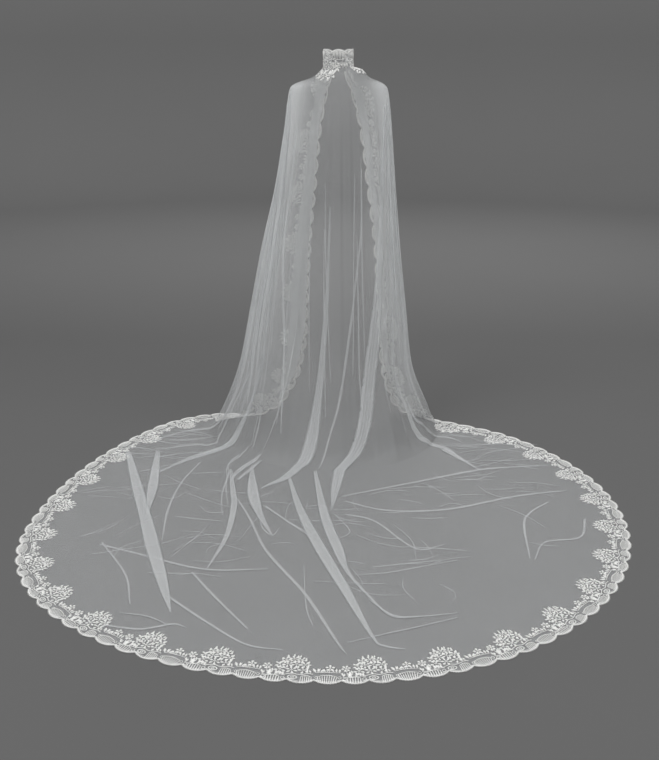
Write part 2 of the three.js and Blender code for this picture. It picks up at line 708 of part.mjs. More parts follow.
// What is cut out of the tulle so that the lace fits: the lace's outline with its inner edge moved
// out by the seam gap, square to that edge
function laceCutter(strip, list) {
  const inner = list.map((s) => new THREE.Vector2(s.along, s.insets[3]));
  const moved = inner.map((point, i) => {
    const before = inner[Math.max(i - 1, 0)];
    const after = inner[Math.min(i + 1, inner.length - 1)];
    const into = point.clone().sub(before).normalize();
    const out = after.clone().sub(point).normalize();
    const along = into.add(out).normalize();
    const turn = Math.max(along.dot(i === inner.length - 1 ? along : out), MITRE_LIMIT);
    return point.clone().add(new THREE.Vector2(-along.y, along.x).multiplyScalar(SEAM_GAP / turn));
  });
  const ends = [0, inner.length - 1];
  ends.forEach((i) => moved[i].setX(inner[i].x));
  const places = (line, i) => {
    if (line === 3) {
      return [moved[i].x, moved[i].y];
    }
    return [list[i].along, line === 0 ? -CUT_BEYOND : list[i].insets[line]];
  };
  const grid = (lift) =>
    [0, 1, 2, 3].map((line) => list.map((s, i) => strip.point(...places(line, i), lift)));
  return wallSolid(grid(CUT_DEPTH), grid(-CUT_DEPTH), () => true);
}

function largest(solid) {
  const bodies = solid.simplify(FACET_DEPTH).decompose();
  return bodies.reduce((best, body) => (body.volume() > best.volume() ? body : best));
}

function meshOf(name, solid, material) {
  const { vertProperties, triVerts } = solid.getMesh();
  const geometry = new THREE.BufferGeometry();
  geometry.setAttribute("position", new THREE.BufferAttribute(vertProperties, 3));
  geometry.setIndex(new THREE.BufferAttribute(triVerts, 1));
  const mesh = new THREE.Mesh(geometry, material);
  mesh.name = name;
  return mesh;
}

const tulle = () => new THREE.MeshStandardMaterial({ color: 0xe9eae8, roughness: 0.85, metalness: 0 });
const lace = () => new THREE.MeshStandardMaterial({ color: 0xf4f3ee, roughness: 0.8, metalness: 0 });

const border = edgeStrip(borderLine());
const repeats = Math.round(border.total / REPEAT);
const frontRepeats = Math.round(FRONT_SHARE * repeats);
const rightRepeats = Math.round(repeats / 2) - frontRepeats;
const leftRepeats = repeats - rightRepeats - 2 * frontRepeats;
const trainRepeat = border.total / repeats;
const seam = border.total / 2 + SEAM_LEFT;
const rightJoin = seam - rightRepeats * trainRepeat;
const leftJoin = seam + leftRepeats * trainRepeat;
const borderSize = (along) => {
  const fromEnd = Math.min(along, border.total - along);
  return mix(NARROW_END, 1, THREE.MathUtils.smoothstep(fromEnd, 0, WIDEN_OVER));
};

const collar = edgeStrip(collarLine());
const edging = { strip: border, motif: MOTIF, sizeAt: borderSize };
const lengths = [
  { ...edging, name: "lace_front_right", start: 0, end: rightJoin, repeats: frontRepeats },
  { ...edging, name: "lace_train_right", start: rightJoin, end: seam, repeats: rightRepeats },
  { ...edging, name: "lace_train_left", start: seam, end: leftJoin, repeats: leftRepeats },
  { ...edging, name: "lace_front_left", start: leftJoin, end: border.total, repeats: frontRepeats },
  {
    name: "lace_collar", strip: collar, motif: COLLAR_MOTIF, sizeAt: () => 1,
    start: 0, end: collar.total, repeats: 1,
  },
];

let sheet = tulleSheet();
for (const fold of TRAIN_FOLDS) {
  sheet = sheet.add(trainFold(fold));
}

const veil = new THREE.Group();
for (const length of lengths) {
  const list = stations(length);
  sheet = sheet.subtract(laceCutter(length.strip, list));
  veil.add(meshOf(length.name, largest(laceWall(length.strip, list)), lace()));
}
veil.add(meshOf("tulle_veil", largest(sheet), tulle()));

export default veil;
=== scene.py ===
"""Dresses a cathedral-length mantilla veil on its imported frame.

Metres, +Z up. The origin is the neck seat. The open fronts hang towards +Y and the train lies spread
on the floor towards -Y. Places on the veil are given by two numbers: around, from -1 at the left
front edge by 0 at the middle of the back to 1 at the right front edge, and row, from 0 at the top of
the collar by 12 where the cloth meets the floor to 15 at the end of the train.
"""

import logging
import math
from dataclasses import dataclass, field
from enum import Enum
from typing import Callable, NamedTuple

import bpy
import numpy as np
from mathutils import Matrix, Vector


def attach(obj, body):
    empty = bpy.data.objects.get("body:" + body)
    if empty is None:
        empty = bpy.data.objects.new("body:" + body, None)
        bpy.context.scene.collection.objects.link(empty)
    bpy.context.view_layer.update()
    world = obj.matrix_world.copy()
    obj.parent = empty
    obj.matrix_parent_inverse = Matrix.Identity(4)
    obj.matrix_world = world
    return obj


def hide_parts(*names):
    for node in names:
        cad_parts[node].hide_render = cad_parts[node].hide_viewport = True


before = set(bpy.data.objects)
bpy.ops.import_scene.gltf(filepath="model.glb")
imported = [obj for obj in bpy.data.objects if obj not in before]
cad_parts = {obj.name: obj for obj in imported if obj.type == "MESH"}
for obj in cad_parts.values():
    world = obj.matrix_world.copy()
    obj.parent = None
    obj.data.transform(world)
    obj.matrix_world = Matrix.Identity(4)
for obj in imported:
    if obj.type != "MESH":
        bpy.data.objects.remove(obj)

Array = np.ndarray
log = logging.getLogger("veil")

MM = 0.001
QUARTER = math.pi / 2
# Row where the border of the fronts begins, and places along a front edge, half the hem and the collar
BORDER_START_ROW = 2.4
BORDER_PLACES = 400
COLLAR_PLACES = 100
# How many layers of net a ray of light may pass
NET_LAYERS = 48


class NeckRow(NamedTuple):
    """One ring between neck and shoulders: its drop, and how far each side has spread by there."""

    drop: float
    left: float
    right: float
    back: float
    front: float
    open: float


class HangRow(NamedTuple):
    """One ring of the hanging sheet: its drop, and shares of the flares, sweeps and openings."""

    drop: float
    left: float
    right: float
    back: float
    sweep: float
    chest: float
    open: float
    forward: float


@dataclass(frozen=True)
class VeilSizes:
    """The sizes that the veil was made to, in metres, as the solids have them."""

    neck_height: float = 1.5
    collar_height: float = 0.06
    neck_width: float = 0.112
    collar_opening: float = 0.028
    shoulder_width: float = 0.37
    shoulder_back: float = 0.085
    chest_depth: float = 0.15
    flare_left: float = 0.369
    flare_right: float = 0.255
    back_sweep: float = 0.3
    front_sweep: float = 0.055
    side_forward: float = 0.06
    open_left: float = 0.129
    open_right: float = 0.178
    wave_depth: float = 0.011
    wave_count: int = 9
    wave_drift: float = 0.5
    drift_around: float = 7.0
    drift_down: float = 0.35
    train_left: float = 1.089
    train_right: float = 1.016
    train_reach: float = 1.672
    train_middle_left: float = 0.86
    train_middle_right: float = 0.7
    train_front_left: float = 0.47
    train_front_right: float = 0.25
    tulle_wall: float = 0.0012
    lace_height: float = 0.125
    lace_repeat: float = 0.222
    seam_left: float = 0.105
    narrow_end: float = 0.42
    widen_over: float = 0.33
    side: float = 0.6
    shoulder_row: float = 4.0
    foot_row: float = 12.0
    hem_row: float = 15.0

    @property
    def floor(self) -> float:
        """Height of the floor below the neck seat."""
        return -self.neck_height

    @property
    def middle_floor(self) -> float:
        """Height of the middle of the cloth where it lies on the floor."""
        return self.floor + self.tulle_wall / 2


NECK_ROWS = [
    NeckRow(drop=0.0, left=0.0, right=0.0, back=0.0, front=0.0, open=0.0),
    NeckRow(drop=0.009, left=0.06, right=0.26, back=0.15, front=0.02, open=0.02),
    NeckRow(drop=0.026, left=0.3, right=0.47, back=0.6, front=0.06, open=0.07),
    NeckRow(drop=0.051, left=0.97, right=1.0, back=1.0, front=0.18, open=0.16),
]
# drop, left, right, back, sweep, chest, open, forward
HANG_ROWS = [
    HangRow(0.156, 0.06, 0.09, 0.1, 0.0, 0.72, 0.42, 0.04),
    HangRow(0.309, 0.17, 0.165, 0.12, 0.0, 0.9, 0.62, 0.08),
    HangRow(0.469, 0.325, 0.25, 0.16, 0.05, 1.0, 0.82, 0.15),
    HangRow(0.64, 0.47, 0.37, 0.22, 0.15, 1.0, 0.94, 0.3),
    HangRow(0.8, 0.61, 0.49, 0.34, 0.3, 1.0, 1.0, 0.52),
    HangRow(0.913, 0.78, 0.74, 0.56, 0.55, 1.0, 1.0, 0.75),
    HangRow(0.98, 0.92, 0.92, 0.8, 0.85, 1.0, 1.0, 0.93),
]
# Share of the way round to a front edge, and quarter turns round the train's outline
TRAIN_TURNS = [
    (0.0, 0.0), (0.1, 0.25), (0.2, 0.47), (0.3, 0.75), (0.4, 1.03),
    (0.5, 1.3), (0.6, 1.49), (0.7, 1.6), (0.8, 1.7), (1.0, 1.9),
]
# Share of the way round to a front edge, and the row that the hem has reached there
HEM_ROWS = [
    (0.0, 15.0), (0.6, 15.0), (0.66, 14.6), (0.72, 13.9), (0.78, 13.1), (0.83, 12.4),
    (0.87, 11.9), (0.905, 11.1), (0.94, 10.2), (0.975, 9.4), (1.0, 8.6),
]
# Row, and how strongly the soft waves of the hanging sheet show there
WAVE_ROWS = [(0, 0), (4, 0), (7, 0.7), (9.5, 1), (11.3, 0.6), (12, 0), (15, 0)]


@dataclass(frozen=True)
class SmoothCurve:
    """A smooth curve through values at rising places that never swings past them."""

    places: Array
    values: Array
    slopes: Array

    @classmethod
    def through(cls, places: Array, values: Array) -> "SmoothCurve":
        """Makes the curve. Inner slopes are harmonic means of the steps, and 0 where they turn.

        Args:
            places: Rising places, one per value.
            values: The values, as one column or several.

        Returns:
            The curve.
        """
        places = np.asarray(places, float)
        values = np.asarray(values, float).reshape(len(places), -1)
        steps = np.diff(values, axis=0) / np.diff(places)[:, None]
        product = steps[:-1] * steps[1:]
        total = steps[:-1] + steps[1:]
        safe = np.where(np.abs(total) < 1e-12, 1.0, total)
        inner = np.where(product > 0, 2 * product / safe, 0.0)
        return cls(places, values, np.vstack([steps[:1], inner, steps[-1:]]))

    def __call__(self, place: Array) -> Array:
        """Reads the curve with cubic Hermite pieces.

        Args:
            place: Places of any shape.

        Returns:
            The values there. Several columns are the last axis, and one column has no such axis.
        """
        place = np.asarray(place, float)
        i = np.searchsorted(self.places[1:-1], place, side="left")
        width = self.places[i + 1] - self.places[i]
        t = np.clip((place - self.places[i]) / width, 0, 1)[..., None]
        rest = 1 - t
        result = (
            self.values[i] * (1 + 2 * t) * rest * rest
            + self.values[i + 1] * t * t * (3 - 2 * t)
            + width[..., None] * (self.slopes[i] * t * rest * rest - self.slopes[i + 1] * t * t * rest)
        )
        return result[..., 0] if self.values.shape[1] == 1 else result


def mix(low: Array, high: Array, share: Array) -> Array:
    """Returns the value at a share of the way from low to high."""
    return low + (high - low) * share


def smooth_step(value: Array, low: float, high: float) -> Array:
    """Returns 0 below low, 1 above high and a smooth rise between them."""
    t = np.clip((np.asarray(value, float) - low) / (high - low), 0, 1)
    return t * t * (3 - 2 * t)


def unit(vectors: Array) -> Array:
    """Returns the vectors of the last axis at length 1."""
    return vectors / np.maximum(np.linalg.norm(vectors, axis=-1, keepdims=True), 1e-12)


def through_points(points: Array, count: int) -> Array:
    """A smooth path through points: Catmull-Rom pieces, each a cubic between two of the points.

    Args:
        points: The points, one per line.
        count: How many places to return.

    Returns:
        The path, one place per line, evenly spaced in the number of points passed.
    """
    points = np.asarray(points, float)
    padded = np.vstack([2 * points[0] - points[1], points, 2 * points[-1] - points[-2]])
    place = np.linspace(0, len(points) - 1, count)
    i = np.minimum(place.astype(int), len(points) - 2)
    t = (place - i)[:, None]
    a, b, c, d = padded[i], padded[i + 1], padded[i + 2], padded[i + 3]
    return 0.5 * (2 * b + (c - a) * t + (2 * a - 5 * b + 4 * c - d) * t**2 + (3 * b - a - 3 * c + d) * t**3)


class Drape:
    """The form that the cloth takes: a surface of around and row, as the solids have it."""

    # Steps round and down the sheet over which its slant is measured
    AROUND_STEP = 0.004
    ROW_STEP = 0.04

    def __init__(self, sizes: VeilSizes) -> None:
        """Works out the rings from the tables.

        Args:
            sizes: The veil's sizes.
        """
        self.sizes = sizes
        rings = self._rings()
        self.ring_curve = SmoothCurve.through(np.arange(len(rings)), rings)
        self.train_turn = SmoothCurve.through(*np.array(TRAIN_TURNS).T)
        self.hem = SmoothCurve.through(*np.array(HEM_ROWS).T)
        self.wave_strength = SmoothCurve.through(*np.array(WAVE_ROWS, float).T)

    def _rings(self) -> Array:
        """Works out every ring from the tables.

        Returns:
            Height, left, right, back, front, side, open_left and open_right, one ring per line.
        """
        s = self.sizes
        neck, throat, shoulder = s.neck_width / 2, s.collar_opening / 2, s.shoulder_width / 2
        rings = [(s.collar_height, neck, neck, neck, neck, 0.0, throat, throat)]
        for row in NECK_ROWS:
            rings.append((
                -row.drop * s.neck_height,
                mix(neck, shoulder, row.left),
                mix(neck, shoulder, row.right),
                mix(neck, s.shoulder_back, row.back),
                mix(neck, s.chest_depth, row.front),
                0.0,
                mix(throat, s.open_left, row.open),
                mix(throat, s.open_right, row.open),
            ))
        for row in HANG_ROWS:
            rings.append((
                -row.drop * s.neck_height,
                shoulder + s.flare_left * row.left,
                shoulder + s.flare_right * row.right,
                s.shoulder_back + s.back_sweep * row.back,
                mix(neck, s.chest_depth, row.chest) + s.front_sweep * row.sweep,
                s.side_forward * row.forward,
                mix(throat, s.open_left, row.open),
                mix(throat, s.open_right, row.open),
            ))
        rings.append((
            s.middle_floor,
            shoulder + s.flare_left,
            shoulder + s.flare_right,
            s.shoulder_back + s.back_sweep,
            s.chest_depth + s.front_sweep,
            s.side_forward,
            s.open_left,
            s.open_right,
        ))
        return np.array(rings)

    def outline_point(self, around: Array) -> Array:
        """The train's outline: two quarter ellipses a side that meet at its widest line.

        Args:
            around: Places round the veil.

        Returns:
            Points on the outline, on the floor.
        """
        s = self.sizes
        left = around < 0
        width = np.where(left, s.train_left, s.train_right)
        front = np.where(left, s.train_front_left, s.train_front_right)
        middle = np.where(left, s.train_middle_left, s.train_middle_right)
        turn = self.train_turn(np.abs(around))
        behind = turn <= 1
        angle = np.where(behind, turn, turn - 1) * QUARTER
        x = width * np.where(behind, np.sin(angle), np.cos(angle))
        y = np.where(
            behind,
            -middle - (s.train_reach - middle) * np.cos(angle),
            -middle + (front + middle) * np.sin(angle),
        )
        return np.stack([np.where(left, -x, x), y, np.full_like(x, s.middle_floor)], axis=-1)

    def ring_point(self, around: Array, row: Array) -> Array:
        """A ring of the hanging sheet: two quarter ellipses a side.

        Behind the widest line x is width times the sine and y falls back with the cosine. In front
        of it x closes in to the open edge with the cosine and y comes forward with the sine.

        Args:
            around: Places round the veil.
            row: Rows, up to the foot.

        Returns:
            Points on the rings.
        """
        ring = self.ring_curve(row)
        height, wide_left, wide_right, back, front, side, open_left, open_right = np.moveaxis(ring, -1, 0)
        left = around < 0
        width = np.where(left, wide_left, wide_right)
        opening = np.where(left, open_left, open_right)
        share = np.abs(around)
        split = self.sizes.side
        rear = share <= split
        turn = np.where(rear, share / split, (share - split) / (1 - split)) * QUARTER
        x = np.where(rear, width * np.sin(turn), opening + (width - opening) * np.cos(turn))
        y = np.where(rear, side - (side + back) * np.cos(turn), side + (front - side) * np.sin(turn))
        return np.stack([np.where(left, -x, x), y, height], axis=-1)

    def plain_point(self, around: Array, row: Array) -> Array:
        """The sheet without waves. Past the foot it lies straight from the foot to the outline.

        Args:
            around: Places round the veil.
            row: Rows.

        Returns:
            Points on the middle of the cloth.
        """
        around, row = np.broadcast_arrays(np.asarray(around, float), np.asarray(row, float))
        s = self.sizes
        foot = self.ring_point(around, np.minimum(row, s.foot_row))
        share = np.clip((row - s.foot_row) / (s.hem_row - s.foot_row), 0, 1)[..., None]
        return mix(foot, self.outline_point(around), share)

    def outward(self, surface: Callable[[Array, Array], Array], around: Array, row: Array) -> Array:
        """The direction straight out of a surface: the way down crossed with the way across.

        Args:
            surface: Gives a point for around and row.
            around: Places round the veil.
            row: Rows.

        Returns:
            Directions of length 1.
        """
        low = np.maximum(row - self.ROW_STEP, 0)
        high = np.minimum(row + self.ROW_STEP, self.sizes.hem_row)
        across = surface(around + self.AROUND_STEP, row) - surface(around - self.AROUND_STEP, row)
        down = surface(around, high) - surface(around, low)
        return unit(np.cross(down, across))

    def point(self, around: Array, row: Array) -> Array:
        """The sheet as it hangs: the plain sheet moved out by a cosine wave that drifts with depth.

        Args:
            around: Places round the veil.
            row: Rows.

        Returns:
            Points on the middle of the cloth.
        """
        around, row = np.broadcast_arrays(np.asarray(around, float), np.asarray(row, float))
        s = self.sizes
        points = self.plain_point(around, row)
        drift = s.wave_drift * np.sin(around * s.drift_around + row * s.drift_down)
        wave = np.cos(around * s.wave_count * math.pi + drift)
        height = s.wave_depth * self.wave_strength(row) * wave
        points = points + self.outward(self.plain_point, around, row) * height[..., None]
        points[..., 2] = np.maximum(points[..., 2], s.middle_floor)
        return points

    def normal(self, around: Array, row: Array) -> Array:
        """The direction out of the sheet, which is straight up on the floor.

        Args:
            around: Places round the veil.
            row: Rows.

        Returns:
            Directions of length 1.
        """
        around, row = np.broadcast_arrays(np.asarray(around, float), np.asarray(row, float))
        out = self.outward(self.point, around, row)
        flat = (row >= self.sizes.foot_row)[..., None]
        return np.where(flat, np.array([0.0, 0.0, 1.0]), out)


class EdgeStrip:
    """The strip of cloth along an edge: places by length along the edge and distance in from it."""

    # Places along the edge, lines in from it, how often each is evened out, and steps for its slant
    STATIONS = 600
    INSET_STEPS = 11
    SMOOTH_PASSES = 6
    AROUND_STEP = 0.002
    ROW_STEP = 0.02

    def __init__(self, drape: Drape, line: Array) -> None:
        """Draws lines that keep their distance from the edge, one inside the other.

        Each line is the last one moved in by one step: the inward direction is solved for its
        steps in around and row, and the new line is evened out a little.

        Args:
            drape: The form of the cloth.
            line: The edge, as around and row, one place per line.
        """
        self.drape = drape
        self.step = drape.sizes.lace_height / (self.INSET_STEPS - 1)
        points = drape.point(line[:, 0], line[:, 1])
        lengths = np.concatenate([[0], np.cumsum(np.linalg.norm(np.diff(points, axis=0), axis=1))])
        self.total = float(lengths[-1])
        even = np.linspace(0, self.total, self.STATIONS + 1)
        lines = [np.stack([np.interp(even, lengths, line[:, k]) for k in (0, 1)], axis=1)]
        for _ in range(self.INSET_STEPS):
            lines.append(self._moved_in(lines[-1]))
        self.lines = np.array(lines)

    def _moved_in(self, line: Array) -> Array:
        """Moves a line in by one step, and each place halfway to the middle of its neighbours.

        Args:
            line: Around and row, one place per line.

        Returns:
            The new line, in the same form.
        """
        surface = self.drape.point
        around, row = line.T
        points = surface(around, row)
        along = np.vstack([points[1:], points[-1:]]) - np.vstack([points[:1], points[:-1]])
        inward = unit(np.cross(along, self.drape.normal(around, row)))
        step = self.AROUND_STEP
        across = (surface(around + step, row) - surface(around - step, row)) / (2 * step)
        low = np.maximum(row - self.ROW_STEP, 0)
        high = np.minimum(row + self.ROW_STEP, self.drape.sizes.hem_row)
        down = (surface(around, high) - surface(around, low)) / (high - low)[:, None]
        aa, dd, ad = (np.sum(a * b, axis=1) for a, b in ((across, across), (down, down), (across, down)))
        ia, id_ = np.sum(inward * across, axis=1), np.sum(inward * down, axis=1)
        determinant = aa * dd - ad * ad
        moved = np.stack([
            around + (ia * dd - id_ * ad) / determinant * self.step,
            row + (id_ * aa - ia * ad) / determinant * self.step,
        ], axis=1)
        for _ in range(self.SMOOTH_PASSES):
            moved[1:-1] = 0.5 * moved[1:-1] + 0.25 * (moved[:-2] + moved[2:])
        return moved

    def place(self, length: Array, inset: Array) -> tuple[Array, Array]:
        """Finds around and row at a length along the edge and a distance in from it.

        Args:
            length: Lengths along the edge.
            inset: Distances in from the edge.

        Returns:
            Around and row.
        """
        along = np.clip(length / self.total * self.STATIONS, 0, self.STATIONS - 1e-6)
        deep = np.clip(inset / self.step, 0, self.INSET_STEPS - 1e-6)
        i, k = along.astype(int), deep.astype(int)
        u, v = (along - i)[..., None], (deep - k)[..., None]
        near = mix(self.lines[k, i], self.lines[k, i + 1], u)
        far = mix(self.lines[k + 1, i], self.lines[k + 1, i + 1], u)
        spot = mix(near, far, v)
        return spot[..., 0], spot[..., 1]

    def points(self, length: Array, inset: Array, lift: Array) -> Array:
        """Places in space. Outside the edge they go straight on in the direction of the cloth.

        Args:
            length: Lengths along the edge.
            inset: Distances in from the edge.
            lift: Heights above the middle of the cloth.

        Returns:
            The points.
        """
        around, row = self.place(length, np.maximum(inset, 0))
        points = self.drape.point(around, row)
        inner = self.drape.point(*self.place(length, np.maximum(inset, 0) + self.step))
        outside = np.maximum(-inset, 0)[..., None]
        return points + unit(points - inner) * outside + self.drape.normal(around, row) * lift[..., None]


def border_line(drape: Drape) -> Array:
    """The veil's border: down the right front edge, round the hem and up the left front edge.

    Args:
        drape: The form of the cloth.

    Returns:
        Around and row, one place per line.
    """
    fine = BORDER_PLACES
    edge = np.linspace(BORDER_START_ROW, float(drape.hem(1.0)), fine + 1)
    round_hem = 1 - np.arange(1, 2 * fine) / fine
    right = np.stack([np.ones(fine + 1), edge], axis=1)
    hem = np.stack([round_hem, drape.hem(np.abs(round_hem))], axis=1)
    left = np.stack([-np.ones(fine + 1), edge[::-1]], axis=1)
    return np.vstack([right, hem, left])


def collar_line() -> Array:
    """The top edge of the collar, from its left end round the back of the neck to its right end."""
    around = np.linspace(-1, 1, COLLAR_PLACES + 1)
    return np.stack([around, np.zeros_like(around)], axis=1)


@dataclass
class MeshParts:
    """Arrays of points and triangles that end up in one mesh."""

    points: list[Array] = field(default_factory=list)
    faces: list[Array] = field(default_factory=list)
    uv: list[Array] = field(default_factory=list)
    gather: list[Array] = field(default_factory=list)
    finish: list[Array] = field(default_factory=list)
    count: int = 0

    def add(self, points: Array, faces: Array, uv: Array, gather: float | Array = 0.0,
            finish: int = 0) -> None:
        """Adds one part.

        Args:
            points: The points, one per line.
            faces: Triangles of this part's own point numbers.
            uv: Distances along and across the cloth or thread, in metres, one pair per point.
            gather: How much the cloth is bunched at each point, from 0 to 1.
            finish: Number of the finish on the mesh.
        """
        self.points.append(points)
        self.faces.append(faces + self.count)
        self.uv.append(uv)
        self.gather.append(np.broadcast_to(np.asarray(gather, float), (len(points),)))
        self.finish.append(np.full(len(faces), finish))
        self.count += len(points)

    def piece(self, name: str, materials: list[bpy.types.Material]) -> bpy.types.Object:
        """Makes the mesh and its object, smooth shaded, with its UV map and gather attribute.

        Args:
            name: The piece's name.
            materials: Its finishes, in order.

        Returns:
            The object, at the origin.
        """
        points, faces = np.vstack(self.points), np.vstack(self.faces)
        uv, gather = np.vstack(self.uv), np.concatenate(self.gather)
        mesh = bpy.data.meshes.new(name)
        mesh.vertices.add(len(points))
        mesh.vertices.foreach_set("co", points.astype(np.float32).ravel())
        mesh.loops.add(faces.size)
        mesh.loops.foreach_set("vertex_index", faces.astype(np.int32).ravel())
        mesh.polygons.add(len(faces))
        mesh.polygons.foreach_set("loop_start", np.arange(0, faces.size, 3, dtype=np.int32))
        mesh.polygons.foreach_set("loop_total", np.full(len(faces), 3, dtype=np.int32))
        mesh.polygons.foreach_set("material_index", np.concatenate(self.finish).astype(np.int32))
        mesh.polygons.foreach_set("use_smooth", np.ones(len(faces), dtype=bool))
        mesh.update(calc_edges=True)
        layer = mesh.uv_layers.new(name="cloth")
        layer.data.foreach_set("uv", uv[faces.ravel()].astype(np.float32).ravel())
        attribute = mesh.attributes.new("gather", "FLOAT", "POINT")
        attribute.data.foreach_set("value", gather.astype(np.float32))
        for material in materials:
            mesh.materials.append(material)
        mesh.validate()
        piece = bpy.data.objects.new(name, mesh)
        bpy.context.scene.collection.objects.link(piece)
        return piece


def grid_faces(lines: int, places: int, wrap: bool = False) -> Array:
    """Triangles of a grid of points that are numbered line by line.

    Args:
        lines: How many lines of points there are.
        places: How many points are in a line.
        wrap: Whether each line closes on itself.

    Returns:
        Two triangles for each cell.
    """
    i, j = np.meshgrid(np.arange(lines - 1), np.arange(places if wrap else places - 1), indexing="ij")
    a = i * places + j
    b = i * places + (j + 1) % places
    c, d = b + places, a + places
    cells = np.stack([a, b, c, a, c, d], axis=-1)
    return cells.reshape(-1, 3)


def faces_out(points: Array, faces: Array) -> Array:
    """Turns a closed shell's triangles round if they face in, told by the sign of its volume.

    Args:
        points: The shell's points.
        faces: Its triangles.

    Returns:
        The triangles, facing out.
    """
    a, b, c = (points[faces[:, k]] for k in range(3))
    volume = np.sum(np.cross(a, b) * c)
    return faces if volume > 0 else faces[:, ::-1]


class Thread(Enum):
    """The finishes of the lace, in the order in which they stand on its mesh."""

    PETAL = 0
    CORD = 1


class Blossom(NamedTuple):
    """A small flower of the edging. A petal's width is the plump share of the flower's radius."""

    along: float
    inset: float
    radius: float
    petals: int
    turn: float
    plump: float


class BlossomRow(NamedTuple):
    """A row of like blossoms: its inset at the ends, where it starts and ends, and its arch."""

    inset: float
    low: float
    high: float
    count: int
    radius: float
    arch: float


class Sprig(NamedTuple):
    """A lone leaf of the edging: where it grows from, its direction in degrees, length and bend."""

    along: float
    inset: float
    angle: float
    length: float
    bend: float


# The cluster's blossoms, row by row from the scroll to the top
CLUSTER_ROWS = [
    BlossomRow(inset=54, low=98, high=159, count=3, radius=15.0, arch=-1),
    BlossomRow(inset=75, low=96, high=163, count=4, radius=14.0, arch=3),
    BlossomRow(inset=95, low=106, high=149, count=3, radius=13.5, arch=5),
]
CLUSTER_SPRIGS = [
    Sprig(168, 60, 150, 14, -0.3), Sprig(166, 76, 120, 14, 0.4), Sprig(158, 92, 100, 13, -0.3),
    Sprig(86, 46, 70, 15, 0.4), Sprig(86, 62, 90, 14, -0.3), Sprig(88, 79, 95, 14, 0.3),
    Sprig(94, 95, 80, 13, 0.3), Sprig(112, 106, 100, 12, 0.0), Sprig(128, 110, 90, 12, 0.0),
    Sprig(143, 106, 80, 12, 0.0), Sprig(78, 44, 60, 12, 0.3),
]
SPRAY_SPRIGS = [
    Sprig(184, 32, 90, 21, 0.0), Sprig(181, 31, 58, 18, -0.3), Sprig(187, 31, 122, 18, 0.3),
    Sprig(178, 30, 25, 14, -0.3), Sprig(190, 30, 155, 13, 0.3), Sprig(201, 34, 60, 14, 0.4),
    Sprig(202, 30, 120, 14, -0.4), Sprig(165, 34, 70, 15, 0.4), Sprig(158, 32, 110, 15, -0.4),
    Sprig(149, 31, 80, 15, 0.3), Sprig(171, 32, 130, 14, 0.3), Sprig(176, 44, 70, 13, 0.0),
]
FAN_SPRIGS = [
    Sprig(66, 46, 75, 19, -0.4), Sprig(61, 49, 100, 16, 0.4), Sprig(56, 50, 60, 15, 0.3),
    Sprig(52, 50, 115, 14, 0.3), Sprig(13, 49, 80, 15, 0.3), Sprig(6, 47, 100, 15, -0.3),
    Sprig(44, 51, 90, 10, -0.3), Sprig(20, 50, 65, 12, 0.0),
]


